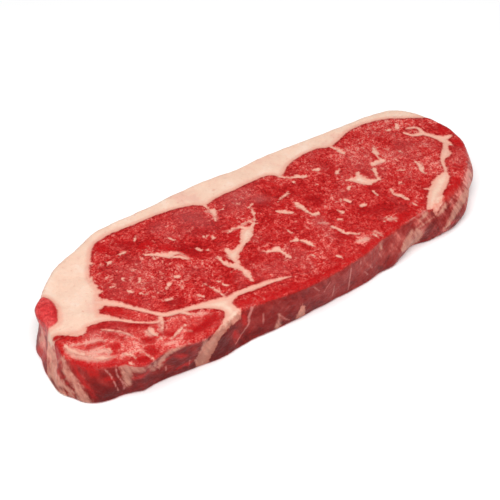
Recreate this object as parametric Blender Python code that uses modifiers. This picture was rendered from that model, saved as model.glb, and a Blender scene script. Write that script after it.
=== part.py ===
"""Raw beef striploin steak, one thick slice lying on its lower cut face.

Frame: metres, +Z up. The origin is the middle of the steak's footprint, on the surface that it lies on.
+X runs along the steak to its round end, -Y is the lean side and +Y the side of the fat cap.

The slice is made whole: a flat outline with a thickness, remeshed, and shaped by rules for its walls
and faces. Two upright zones then cut it through into its bodies, which keep a thin gap: the lean, the fat
cap along its back, and the small rim muscle at the corner of the cap. Plan sizes are in millimetres, and
METRES turns them into metres.
"""

import math

import bmesh
import bpy
import numpy as np
from mathutils import Vector
from mathutils.kdtree import KDTree

METRES = 0.001

# Driving dimensions, in millimetres
THICKNESS = 22.0
REMESH_DEPTH = 7
REMESH_SCALE = 0.6
TOP_ROUND = 1.6
FOOT_ROUND = 1.6
GAP = 0.3
WALL_DEPTH = 9.0  # how far in from the wall its rules fade out
FLARE_POWER = 1.3  # above 1, the flare at the foot dies out soon
RIB = (0.25, 3.1, 0.35, 7.3)  # fine and coarse upright ribs of the wall: depth, and run for one radian
WAVE = (0.18, 5.3, 4.7)  # waviness of the upper face: height, and run for one radian along X and Y
ZONE_REACH = 8.0  # how far a cutter stands past both faces
SHARP_ANGLE = 60.0  # degrees
SPLINE_STEPS = 5
EASE = 3

# Upper edge of the slice, anticlockwise from the left corner of the lean side
OUTLINE = (
    (-121.5, -26), (-118, -33), (-112, -39.5), (-101, -45), (-92, -51), (-80, -48.8), (-66, -50),
    (-54, -47.5), (-42, -43.5), (-30, -42.5), (-16, -44.2), (0, -44.6), (16, -42.8), (32, -39.4),
    (44, -35.2), (56, -31.5), (70, -29), (84, -26), (96, -21.8), (107.5, -14.5), (117.8, -4.8), (124, 6.5),
    (124.8, 18), (122, 29), (117.4, 39.6), (109, 48.3), (97.5, 51), (74, 50.8), (50, 50.4), (28, 50),
    (10, 47.9), (-8, 48.1), (-26, 46.6), (-46, 43.5), (-64, 42.2), (-76, 39.3), (-88, 33), (-101, 27),
    (-110, 18.5), (-115.2, 11.5), (-119, 7), (-120.8, 0.5), (-120.2, -6), (-121.2, -14),
)

# How far the wall stands outside the upper edge:
# (point of the outline, at the foot, and at half height beyond that)
WALL = (
    ((-121.5, -26), 5.0, 0.5),
    ((-112, -39.5), 4.6, 0.8),
    ((-101, -45), 0.0, 1.0),
    ((-92, -51), -6.0, -0.8),
    ((-80, -48.8), -1.8, -0.8),
    ((-66, -50), -5.0, -0.4),
    ((-54, -47.5), 0.4, 0.5),
    ((-42, -43.5), 2.6, 0.3),
    ((-30, -42.5), 2.0, 0.5),
    ((0, -44.6), -3.0, 0.0),
    ((16, -42.8), -2.2, 0.0),
    ((32, -39.4), 0.5, 0.5),
    ((56, -31.5), 1.4, 1.5),
    ((84, -26), 2.5, 3.0),
    ((96, -21.8), 4.6, 3.4),
    ((107.5, -14.5), 2.4, 4.2),
    ((117.8, -4.8), -1.0, 4.6),
    ((124, 6.5), -3.0, 3.2),
    ((124.8, 18), -2.5, 2.2),
    ((117.4, 39.6), -2.0, 1.0),
    ((74, 50.8), -1.5, 1.0),
    ((10, 47.9), -1.5, 1.0),
    ((-64, 42.2), -1.0, 1.3),
    ((-110, 18.5), 0.0, 1.5),
    ((-119, 7), 2.0, -1.0),
    ((-120.8, 0.5), 4.5, -1.0),
    ((-121.2, -14), 5.5, 1.0),
)

# Lumps and hollows of the side walls: (x, y, z, reach, how far the wall is pushed out)
WALL_LUMPS = (
    (-122, 1, 12.5, 4.5, -1.6),
    (-121.5, 4, 20, 6.0, 1.2),
    (-125, -9, 6.0, 6.0, 1.2),
    (-125, -20, 13.0, 4.5, -1.0),
    (-123, -31, 9.0, 6.0, 1.0),
    (-106, -43, 8.0, 7.0, 1.0),
    (-84, -48, 13.0, 7.0, -1.2),
    (-48, -45, 16.0, 6.0, 1.2),
    (-36, -43, 8.0, 6.0, -0.8),
    (-8, -44, 9.0, 9.0, 0.8),
    (22, -41, 8.0, 8.0, -0.5),
    (58, -33, 9.0, 7.0, 1.0),
    (74, -31, 5.0, 5.0, -1.2),
    (90, -27, 9.0, 7.0, 0.8),
    (104, -21, 4.0, 6.0, 1.8),
    (112, -13, 12.0, 5.0, -0.8),
    (119, -5, 8.0, 6.0, 0.9), (68, -29, 1.0, 7.0, -2.6),
    (51, -35, 1.0, 6.0, 1.8), (97, -27, 1.0, 5.0, 1.6), (108, -18, 3.0, 6.0, -1.8),
    (-122, -35, 2.0, 5.0, -1.6), (-127, -17, 8.0, 5.0, -1.8), (-118, -37, 3.0, 4.0, 1.0),
)

# Border between the fat cap and the lean, from the round end to the left corner, on the upper and the
# lower face. Both lists have the same number of points, because the cutter is lofted between them.
CAP_TOP = (
    (124, 32.5), (118.5, 33.5), (110, 37.5), (101, 42.5), (92, 44.8), (85, 45.3), (76, 43.8),
    (68, 40.2), (60.5, 38), (54, 40.2), (45, 39.7), (36, 37), (27, 31), (21, 34.6), (8, 33.6),
    (-8, 32.5), (-17.5, 30.3), (-24, 33.6), (-38, 35.4), (-56, 34.8), (-70, 34), (-79, 30.5),
    (-84.5, 22), (-89.5, 12), (-89.5, 3), (-93, -5), (-95.5, -11), (-98, -17), (-103.5, -17),
    (-109, -18.6), (-115, -17.2), (-122, -18.2),
)
CAP_FOOT = (
    (124, 30), (118, 31), (110, 35), (101, 39.5), (92, 42), (85, 43), (76, 42), (68, 39), (60, 37.5),
    (53, 38.5), (45, 37.5), (36, 35), (27, 31.5), (19, 33), (7, 33), (-8, 31.5), (-18, 30.5), (-26, 32),
    (-38, 33.5), (-56, 33), (-70, 31.5), (-80, 27.5), (-87, 19), (-92.5, 9), (-94, 0), (-97, -8),
    (-100, -15), (-103, -21), (-107.5, -24), (-112, -27), (-117, -30), (-125, -34),
)
CAP_OUTSIDE_TOP = ((-150, -20), (-150, 80), (150, 80), (150, 32.5))
CAP_OUTSIDE_FOOT = ((-150, -36), (-150, 80), (150, 80), (150, 30))

# Border of the rim muscle, from the back round to the left wall, on the upper and the lower face
RIM_TOP = (
    (-125, 12.5), (-119, 12), (-114.8, 11), (-112.4, 7.5), (-112, 2), (-113, -3), (-115.2, -7.3),
    (-119, -8.4), (-124, -8.6),
)
RIM_FOOT = (
    (-130, 9), (-124, 8), (-119.5, 6), (-117.3, 2), (-117, -3), (-117.8, -8.5), (-119.5, -13.5),
    (-122.5, -16.5), (-130, -18),
)
RIM_OUTSIDE_TOP = ((-150, -8.6), (-150, 12.5))
RIM_OUTSIDE_FOOT = ((-150, -18), (-150, 9))

# Fat seams on the upper face, which lie a little below the meat: a line, and the half width of its groove
SEAMS = (
    (((-94, -3), (-82, -14), (-71, -26), (-58, -29.5), (-45, -33.5), (-30, -33), (-13, -34)), 2.6),
    (((-46, -35), (-45, -39), (-48, -46)), 3.0),
    (((-98, -14), (-84, -24), (-74, -32)), 2.2),
    (((101, 28), (113, 18), (116, 14), (110, 4), (103, -6), (95, -14), (82, -24)), 2.8),
    (((-25, -27), (-26, -15), (-13, -2), (1, 10)), 2.2),
)
SEAM_DEPTH = 0.5

# Low swells of the upper face: (x, y, reach, height)
SWELLS = (
    (-117, 2, 7, 1.3),
    (-62, 4, 30, 0.5),
    (10, 2, 34, 0.5),
    (88, 12, 26, 0.6),
    (-104, -31, 9, 0.5),
    (-67, -40, 9, 0.6),
    (118, 12, 8, -0.5),
    (0, 42, 60, -0.4),
    (-100, 12, 14, -0.5),
    (-86, -22, 8, -0.6),
)

# Finishes: base colour (linear RGB) and roughness
LEAN_FINISH = ((0.552, 0.047, 0.046), 0.42)
FAT_FINISH = ((0.905, 0.652, 0.509), 0.45)
RIM_FINISH = ((0.610, 0.060, 0.050), 0.42)


def clear_scene():
    """Removes every object that the file starts with."""
    for obj in list(bpy.data.objects):
        bpy.data.objects.remove(obj, do_unlink=True)


def collection(name):
    """Adds a collection to the scene."""
    made = bpy.data.collections.new(name)
    bpy.context.scene.collection.children.link(made)
    return made


def material(name, finish):
    """Makes a Principled material from a (colour, roughness) pair."""
    colour, roughness = finish
    made = bpy.data.materials.new(name)
    made.use_nodes = True
    shader = made.node_tree.nodes["Principled BSDF"]
    shader.inputs["Base Color"].default_value = (*colour, 1.0)
    shader.inputs["Roughness"].default_value = roughness
    shader.inputs["Metallic"].default_value = 0.0
    made.diffuse_color = (*colour, 1.0)
    return made


def smooth_line(points, closed):
    """Points along a smooth curve through the given ones, SPLINE_STEPS for each stretch."""
    given = np.array(points, float)
    if closed:
        padded = np.vstack([given[-1:], given, given[:2]])
    else:
        padded = np.vstack([given[:1], given, given[-1:]])
    before, start, end, after = padded[:-3], padded[1:-2], padded[2:-1], padded[3:]
    t = np.linspace(0, 1, SPLINE_STEPS, endpoint=False)[:, None, None]
    curve = 0.5 * (
        2 * start
        + (end - before) * t
        + (2 * before - 5 * start + 4 * end - after) * t**2
        + (3 * start - before - 3 * end + after) * t**3
    )
    line = curve.transpose(1, 0, 2).reshape(-1, 2)
    return line if closed else np.vstack([line, given[-1:]])


def grown(ring, distance):
    """A closed ring moved outwards in plan by a distance, point by point."""
    along = np.roll(ring, -1, axis=0) - np.roll(ring, 1, axis=0)
    outward = np.stack([along[:, 1], -along[:, 0]], axis=1)
    outward /= np.linalg.norm(outward, axis=1, keepdims=True)
    following = np.roll(ring, -1, axis=0)
    area = (ring[:, 0] * following[:, 1] - following[:, 0] * ring[:, 1]).sum()
    return ring + outward * distance * math.copysign(1.0, area)


def plate(name, ring, thickness):
    """A closed ring as a flat filled curve with a thickness, made a mesh that stands on the ground."""
    data = bpy.data.curves.new(name, "CURVE")
    data.dimensions = "2D"
    data.fill_mode = "BOTH"
    data.extrude = thickness / 2 * METRES
    spline = data.splines.new("POLY")
    spline.points.add(len(ring) - 1)
    for point, (x, y) in zip(spline.points, ring * METRES):
        point.co = (x, y, 0.0, 1.0)
    spline.use_cyclic_u = True
    curve = bpy.data.objects.new(name + "_outline", data)
    curve.location.z = thickness / 2 * METRES
    bpy.context.scene.collection.objects.link(curve)
    bpy.context.view_layer.update()
    graph = bpy.context.evaluated_depsgraph_get()
    mesh = bpy.data.meshes.new_from_object(curve.evaluated_get(graph))
    mesh.transform(curve.matrix_world)
    bpy.data.objects.remove(curve)
    welded = bmesh.new()
    welded.from_mesh(mesh)
    bmesh.ops.remove_doubles(welded, verts=welded.verts, dist=1e-6)
    bmesh.ops.recalc_face_normals(welded, faces=welded.faces)
    welded.to_mesh(mesh)
    welded.free()
    return bpy.data.objects.new(name, mesh)


def remeshed(obj, holder):
    """Gives the object even small faces that keep its edges, so that the rules can shape it."""
    holder.objects.link(obj)
    remesh = obj.modifiers.new("even faces", "REMESH")
    remesh.mode = "SHARP"
    remesh.octree_depth = REMESH_DEPTH
    remesh.scale = REMESH_SCALE
    bpy.context.view_layer.update()
    graph = bpy.context.evaluated_depsgraph_get()
    mesh = bpy.data.meshes.new_from_object(obj.evaluated_get(graph))
    obj.modifiers.clear()
    obj.data = mesh
    return obj


class Wall:
    """The outline as many points, each with its outward direction and its wall's two offsets."""

    def __init__(self, ring):
        self.ring = ring
        along = np.roll(ring, -1, axis=0) - np.roll(ring, 1, axis=0)
        outward = np.stack([along[:, 1], -along[:, 0]], axis=1)
        self.outward = outward / np.linalg.norm(outward, axis=1, keepdims=True)
        steps = np.linalg.norm(np.roll(ring, -1, axis=0) - ring, axis=1)
        self.run = np.concatenate([[0.0], np.cumsum(steps)[:-1]])
        self.length = steps.sum()
        self.tree = KDTree(len(ring))
        for index, (x, y) in enumerate(ring):
            self.tree.insert(Vector((x, y, 0.0)), index)
        self.tree.balance()
        stations = sorted((self.run[self.nearest(*place)[0]], foot, belly) for place, foot, belly in WALL)
        runs, feet, bellies = np.array(stations).T
        self.foot = self.eased(np.interp(self.run, runs, feet, period=self.length))
        self.belly = self.eased(np.interp(self.run, runs, bellies, period=self.length))

    @staticmethod
    def eased(values):
        """The values with their corners rounded, by a short running mean round the ring."""
        shifts = range(-EASE, EASE + 1)
        return sum(np.roll(values, shift) for shift in shifts) / len(shifts)

    def nearest(self, x, y):
        """The nearest outline point's index and its distance."""
        _, index, distance = self.tree.find(Vector((x, y, 0.0)))
        return index, distance

    def around(self, points):
        """For each plan point, the nearest outline point's index and its depth inside the outline."""
        found = [self.nearest(x, y) for x, y in points[:, :2]]
        index = np.array([item[0] for item in found])
        offset = ((points[:, :2] - self.ring[index]) * self.outward[index]).sum(axis=1)
        return index, np.maximum(-offset, 0.0)


def rounded(points, index, depth, wall):
    """Rounds the upper and the lower edge to quarter circles."""
    upper = (TOP_ROUND, points[:, 2] - (THICKNESS - TOP_ROUND))
    lower = (FOOT_ROUND, FOOT_ROUND - points[:, 2])
    for radius, height in (upper, lower):
        inward = np.clip(radius - depth, 0.0, radius)
        height = np.clip(height, 0.0, radius)
        far = np.hypot(inward, height)
        keep = np.where(far > 0, np.maximum(inward, height) / np.maximum(far, 1e-9), 1.0)
        points[:, :2] -= wall.outward[index] * (inward * (1 - keep))[:, None]
        down = height * (1 - keep)
        points[:, 2] += np.where(points[:, 2] > THICKNESS / 2, -down, down)


def walled(points, index, depth, wall):
    """Moves the side walls: a flare or undercut, a belly, shallow upright ribs, lumps and hollows."""
    up = np.clip(points[:, 2] / THICKNESS, 0.0, 1.0)
    belly = 4 * up * (1 - up)
    run = wall.run[index]
    fine, fine_run, coarse, coarse_run = RIB
    ribs = fine * np.sin(run / fine_run + 2.5 * np.sin(run / 23) + up * 2.0)
    ribs += coarse * np.sin(run / coarse_run - up * 1.5 + 1.0)
    push = wall.foot[index] * (1 - up) ** FLARE_POWER + wall.belly[index] * belly + ribs * np.sqrt(belly)
    for x, y, z, reach, amount in WALL_LUMPS:
        away = np.linalg.norm(points - (x, y, z), axis=1)
        push += amount * np.exp(-((away / reach) ** 2))
    push *= np.exp(-((depth / WALL_DEPTH) ** 2))
    points[:, :2] += wall.outward[index] * push[:, None]


def line_distance(points, line):
    """Distance in plan from each point to a line of straight stretches."""
    nearest = np.full(len(points), np.inf)
    for start, end in zip(line[:-1], line[1:]):
        along = end - start
        share = np.clip((points[:, :2] - start) @ along / (along @ along), 0.0, 1.0)
        away = np.linalg.norm(points[:, :2] - start - share[:, None] * along, axis=1)
        nearest = np.minimum(nearest, away)
    return nearest


def relieved(points):
    """Shapes the upper face: low swells, a soft waviness, and the fat seams as shallow grooves."""
    lift = np.zeros(len(points))
    for x, y, reach, height in SWELLS:
        away = np.hypot(points[:, 0] - x, points[:, 1] - y)
        lift += height * np.exp(-((away / reach) ** 2))
    height, x_run, y_run = WAVE
    x, y = points[:, 0] / x_run, points[:, 1] / y_run
    lift += height * np.sin(x + 0.6 * np.sin(0.7 * y)) * np.sin(y + 0.3 * x)
    for line, half_width in SEAMS:
        away = line_distance(points, smooth_line(line, closed=False))
        lift -= SEAM_DEPTH * np.exp(-((away / half_width) ** 2))
    points[:, 2] += lift * np.clip(points[:, 2] / THICKNESS * 2 - 1, 0.0, 1.0)


def shaped(obj, wall):
    """Applies the rules for edges, walls and upper face to the object's points."""
    count = len(obj.data.vertices)
    flat = np.empty(count * 3, np.float32)
    obj.data.vertices.foreach_get("co", flat)
    points = flat.reshape(-1, 3).astype(float) / METRES
    points[:, 2] = np.clip(points[:, 2], 0.0, THICKNESS)
    index, depth = wall.around(points)
    rounded(points, index, depth, wall)
    walled(points, index, depth, wall)
    relieved(points)
    obj.data.vertices.foreach_set("co", (points * METRES).astype(np.float32).ravel())
    obj.data.update()
    return obj


def zone(name, holder, top, foot, grow):
    """A cutter lofted from a ring below the slice to one above it, grown in plan by a distance."""
    loft = bmesh.new()
    reach = ZONE_REACH
    rings = []
    slope = (top - foot) / THICKNESS
    for ring, z in ((foot - slope * reach, -reach), (top + slope * reach, THICKNESS + reach)):
        rings.append([loft.verts.new((x, y, z * METRES)) for x, y in grown(ring, grow) * METRES])
    lower, upper = rings
    loft.faces.new(lower[::-1])
    loft.faces.new(upper)
    for at, corner in enumerate(lower):
        loft.faces.new((corner, lower[at - 1], upper[at - 1], upper[at]))
    bmesh.ops.triangulate(loft, faces=loft.faces)
    bmesh.ops.recalc_face_normals(loft, faces=loft.faces)
    mesh = bpy.data.meshes.new(name)
    loft.to_mesh(mesh)
    loft.free()
    obj = bpy.data.objects.new(name, mesh)
    holder.objects.link(obj)
    obj.hide_render = True
    obj.display_type = "WIRE"
    return obj


def zone_ring(border, outside):
    """A closed ring: a smooth border through the slice, closed by straight runs outside it."""
    return np.vstack([smooth_line(border, closed=False), np.array(outside, float)])


def piece(name, holder, source, finish, cuts):
    """A body of the slice: a copy of it with Boolean cuts, each an operation and a zone."""
    obj = bpy.data.objects.new(name, source.data.copy())
    holder.objects.link(obj)
    for operation, cutter in cuts:
        boolean = obj.modifiers.new(operation.lower() + " " + cutter.name, "BOOLEAN")
        boolean.operation = operation
        boolean.solver = "EXACT"
        boolean.object = cutter
    obj.data.materials.clear()
    obj.data.materials.append(material(name, finish))
    obj.data.shade_smooth()
    obj.data.set_sharp_from_angle(angle=math.radians(SHARP_ANGLE))
    return obj


def main():
    """Builds the steak."""
    clear_scene()
    parts = collection("striploin_steak")
    helpers = collection("cutters")
    ring = smooth_line(OUTLINE, closed=True)
    slice_ = shaped(remeshed(plate("slice", ring, THICKNESS), helpers), Wall(ring))
    slice_.hide_render = True
    slice_.display_type = "WIRE"
    cap_top = zone_ring(CAP_TOP, CAP_OUTSIDE_TOP)
    cap_foot = zone_ring(CAP_FOOT, CAP_OUTSIDE_FOOT)
    rim_top = zone_ring(RIM_TOP, RIM_OUTSIDE_TOP)
    rim_foot = zone_ring(RIM_FOOT, RIM_OUTSIDE_FOOT)
    cap_body = zone("cap_body", helpers, cap_top, cap_foot, -GAP / 2)
    cap_room = zone("cap_room", helpers, cap_top, cap_foot, GAP / 2)
    rim_body = zone("rim_body", helpers, rim_top, rim_foot, -GAP / 2)
    rim_room = zone("rim_room", helpers, rim_top, rim_foot, GAP / 2)
    piece("lean", parts, slice_, LEAN_FINISH, (("DIFFERENCE", cap_room),))
    piece("fat_cap", parts, slice_, FAT_FINISH, (("INTERSECT", cap_body), ("DIFFERENCE", rim_room)))
    piece("rim_muscle", parts, slice_, RIM_FINISH, (("INTERSECT", rim_body),))


main()
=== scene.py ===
"""Raw beef striploin steak: the looks of one thick slice that lies on its lower cut face.

The slice is modelled whole, in the same outline and with the same rules as the solids: a flat blank is cut
from its outline, remeshed fine, and its walls, edges and faces are shaped. It is then cut through along its
natural borders into the lean, the fat along its back and the small rim muscle. The borders between lean and
fat, the marbling and the marks of the side walls are signed distances in millimetres, kept on the points of
the mesh, which the materials turn into ragged edges. Plan places and sizes are in millimetres, and MM turns
them into metres.
"""

import logging
import math
from dataclasses import dataclass, field
from enum import Enum
from typing import Any

import bpy
import numpy as np
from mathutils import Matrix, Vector
from mathutils.kdtree import KDTree


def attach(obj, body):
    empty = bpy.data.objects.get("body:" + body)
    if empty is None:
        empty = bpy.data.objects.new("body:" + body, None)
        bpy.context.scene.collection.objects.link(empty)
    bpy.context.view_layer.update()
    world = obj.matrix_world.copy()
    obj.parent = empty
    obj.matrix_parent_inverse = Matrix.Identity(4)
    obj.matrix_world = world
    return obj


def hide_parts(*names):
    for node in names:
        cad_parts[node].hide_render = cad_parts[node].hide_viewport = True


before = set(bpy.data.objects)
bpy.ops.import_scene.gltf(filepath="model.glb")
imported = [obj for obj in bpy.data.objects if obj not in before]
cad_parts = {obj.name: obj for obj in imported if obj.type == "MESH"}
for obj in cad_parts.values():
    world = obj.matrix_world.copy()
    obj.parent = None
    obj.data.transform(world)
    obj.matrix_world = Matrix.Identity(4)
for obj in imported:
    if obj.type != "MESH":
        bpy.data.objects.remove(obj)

LOG = logging.getLogger("striploin")
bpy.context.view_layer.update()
MM = 0.001
FAR = 8.0  # mm, past which a depth is cut off
TINY = 1e-9  # keeps a division off 0

Points = tuple[tuple[float, ...], ...]

# Upper edge of the slice, anticlockwise from the left corner of the lean side
OUTLINE: Points = (
    (-121.5, -26), (-118, -33), (-112, -39.5), (-101, -45), (-92, -51), (-80, -48.8), (-66, -50),
    (-54, -47.5), (-42, -43.5), (-30, -42.5), (-16, -44.2), (0, -44.6), (16, -42.8), (32, -39.4),
    (44, -35.2), (56, -31.5), (70, -29), (84, -26), (96, -21.8), (107.5, -14.5), (117.8, -4.8), (124, 6.5),
    (124.8, 18), (122, 29), (117.4, 39.6), (109, 48.3), (97.5, 51), (74, 50.8), (50, 50.4), (28, 50),
    (10, 47.9), (-8, 48.1), (-26, 46.6), (-46, 43.5), (-64, 42.2), (-76, 39.3), (-88, 33), (-101, 27),
    (-110, 18.5), (-115.2, 11.5), (-119, 7), (-120.8, 0.5), (-120.2, -6), (-121.2, -14),
)

# How far the wall stands out past the upper edge: (x, y of the outline, at its foot, more at half height)
WALL: Points = (
    (-121.5, -26, 5.0, 0.5), (-112, -39.5, 4.6, 0.8), (-101, -45, 0.0, 1.0), (-92, -51, -6.0, -0.8),
    (-80, -48.8, -1.8, -0.8), (-66, -50, -5.0, -0.4), (-54, -47.5, 0.4, 0.5), (-42, -43.5, 2.6, 0.3),
    (-30, -42.5, 2.0, 0.5), (0, -44.6, -3.0, 0.0), (16, -42.8, -2.2, 0.0), (32, -39.4, 0.5, 0.5),
    (56, -31.5, 1.4, 1.5), (84, -26, 2.5, 3.0), (96, -21.8, 4.6, 3.4), (107.5, -14.5, 2.4, 4.2),
    (117.8, -4.8, -1.0, 4.6), (124, 6.5, -3.0, 3.2), (124.8, 18, -2.5, 2.2), (117.4, 39.6, -2.0, 1.0),
    (74, 50.8, -1.5, 1.0), (10, 47.9, -1.5, 1.0), (-64, 42.2, -1.0, 1.3), (-110, 18.5, 0.0, 1.5),
    (-119, 7, 2.0, -1.0), (-120.8, 0.5, 4.5, -1.0), (-121.2, -14, 5.5, 1.0),
)

# Lumps and hollows of the side walls: (x, y, z, reach, how far the wall is pushed out)
WALL_LUMPS: Points = (
    (-122, 1, 12.5, 4.5, -1.6), (-121.5, 4, 20, 6.0, 1.2), (-125, -9, 6.0, 6.0, 1.2),
    (-125, -20, 13.0, 4.5, -1.0), (-123, -31, 9.0, 6.0, 1.0), (-106, -43, 8.0, 7.0, 1.0),
    (-84, -48, 13.0, 7.0, -1.2), (-48, -45, 16.0, 6.0, 1.2), (-36, -43, 8.0, 6.0, -0.8),
    (-8, -44, 9.0, 9.0, 0.8), (22, -41, 8.0, 8.0, -0.5), (58, -33, 9.0, 7.0, 1.0),
    (74, -31, 5.0, 5.0, -1.2), (90, -27, 9.0, 7.0, 0.8), (104, -21, 4.0, 6.0, 1.8),
    (112, -13, 12.0, 5.0, -0.8), (119, -5, 8.0, 6.0, 0.9), (68, -29, 1.0, 7.0, -2.6),
    (51, -35, 1.0, 6.0, 1.8), (97, -27, 1.0, 5.0, 1.6), (108, -18, 3.0, 6.0, -1.8),
    (-122, -35, 2.0, 5.0, -1.6), (-127, -17, 8.0, 5.0, -1.8), (-118, -37, 3.0, 4.0, 1.0),
)

# Border between the fat cap and the lean, from the round end to the left corner, on either cut face
CAP_TOP: Points = (
    (124, 32.5), (118.5, 33.5), (110, 37.5), (101, 42.5), (92, 44.8), (85, 45.3), (76, 43.8), (68, 40.2),
    (60.5, 38), (54, 40.2), (45, 39.7), (36, 37), (27, 31), (21, 34.6), (8, 33.6), (-8, 32.5),
    (-17.5, 30.3), (-24, 33.6), (-38, 35.4), (-56, 34.8), (-70, 34), (-79, 30.5), (-84.5, 22), (-89.5, 12),
    (-89.5, 3), (-93, -5), (-95.5, -11), (-98, -17), (-103.5, -17), (-109, -18.6), (-115, -17.2),
    (-122, -18.2),
)
CAP_FOOT: Points = (
    (124, 30), (118, 31), (110, 35), (101, 39.5), (92, 42), (85, 43), (76, 42), (68, 39), (60, 37.5),
    (53, 38.5), (45, 37.5), (36, 35), (27, 31.5), (19, 33), (7, 33), (-8, 31.5), (-18, 30.5), (-26, 32),
    (-38, 33.5), (-56, 33), (-70, 31.5), (-80, 27.5), (-87, 19), (-92.5, 9), (-94, 0), (-97, -8),
    (-100, -15), (-103, -21), (-107.5, -24), (-112, -27), (-117, -30), (-125, -34),
)
CAP_OUTSIDE_TOP: Points = ((-150, -20), (-150, 80), (150, 80), (150, 32.5))
CAP_OUTSIDE_FOOT: Points = ((-150, -36), (-150, 80), (150, 80), (150, 30))

# Border of the rim muscle, from the back of the steak round to its left wall, on either cut face
RIM_TOP: Points = (
    (-125, 12.5), (-119, 12), (-114.8, 11), (-112.4, 7.5), (-112, 2), (-113, -3), (-115.2, -7.3),
    (-119, -8.4), (-124, -8.6),
)
RIM_FOOT: Points = (
    (-130, 9), (-124, 8), (-119.5, 6), (-117.3, 2), (-117, -3), (-117.8, -8.5), (-119.5, -13.5),
    (-122.5, -16.5), (-130, -18),
)
RIM_OUTSIDE_TOP: Points = ((-150, -8.6), (-150, 12.5))
RIM_OUTSIDE_FOOT: Points = ((-150, -18), (-150, 9))

# Low swells of the upper face: (x, y, reach, height)
SWELLS: Points = (
    (-117, 2, 7, 1.3), (-62, 4, 30, 0.5), (10, 2, 34, 0.5), (88, 12, 26, 0.6), (-104, -31, 9, 0.5),
    (-67, -40, 9, 0.6), (118, 12, 8, -0.5), (0, 42, 60, -0.4), (-100, 12, 14, -0.5), (-86, -22, 8, -0.6),
)

# Fat seams, veins and flecks of the cut faces, each a tapered line of (x, y, width)
SEAMS: tuple[Points, ...] = (
    # between the eye and the tail, and on along the front of the eye
    ((-96, -3, 5), (-91.4, -6.6, 4.2), (-84.8, -12, 3.0), (-79.4, -18.4, 2.4), (-75.4, -23.2, 1.9),
     (-72, -26.8, 2.6), (-69, -28.4, 3.4), (-62, -29.8, 2.8), (-55, -30.8, 3.6), (-49, -32.4, 5.4),
     (-44, -34.5, 7.6), (-40, -34, 4.4), (-36, -32.5, 3.2), (-30, -32.5, 3.2), (-20, -33, 3.0),
     (-13, -34, 2.0), (-7, -35.5, 0.4)), ((-45, -34, 7), (-43, -38, 6.6), (-43, -41, 6), (-46, -45, 5)),
    # between the strips of the tail
    ((-101, -13.6, 7), (-97.6, -14.6, 6), (-94, -16.6, 4.2), (-89.4, -20.4, 2.0), (-84.8, -24.4, 1.5),
     (-79.4, -28.2, 1.3), (-75.6, -30.2, 1.6), (-73.4, -30, 2.0)),
    ((-73, -28.6, 2.4), (-73.8, -32, 1.8), (-75.4, -35, 1.4)),
    ((-98, -5, 6), (-94.6, -7.8, 4.2), (-91.8, -7.4, 2)),
    ((-100, -22, 0.5), (-97, -24, 1.2), (-93, -27, 1.3), (-90, -31, 1.0)),
    # the long seam at the round end
    ((101, 28, 1.8), (104, 24.5, 2.4), (109, 23, 2.6)),
    ((104, 30.3, 1.2), (107.5, 30, 1.8), (110, 28, 2.0), (110, 23, 3.0), (112.5, 19, 2.8), (116, 15, 4.0),
     (118.5, 14.2, 3.6), (122, 14.4, 1.6)), ((116, 14, 5.5), (116.8, 10, 3.4), (117.8, 7.6, 0.8)),
    ((115.6, 11, 3), (112.8, 7, 3.4), (110.4, 3.4, 5.4), (107, 1, 3.2), (104.4, -2, 2), (103, -6, 2),
     (101, -9.5, 2.4), (98, -12, 6), (94, -14.5, 8), (88, -19, 7.4), (83, -23.4, 6), (79, -28, 5)),
    ((87, -17, 2), (84, -14.6, 1.0)),
)
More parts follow.
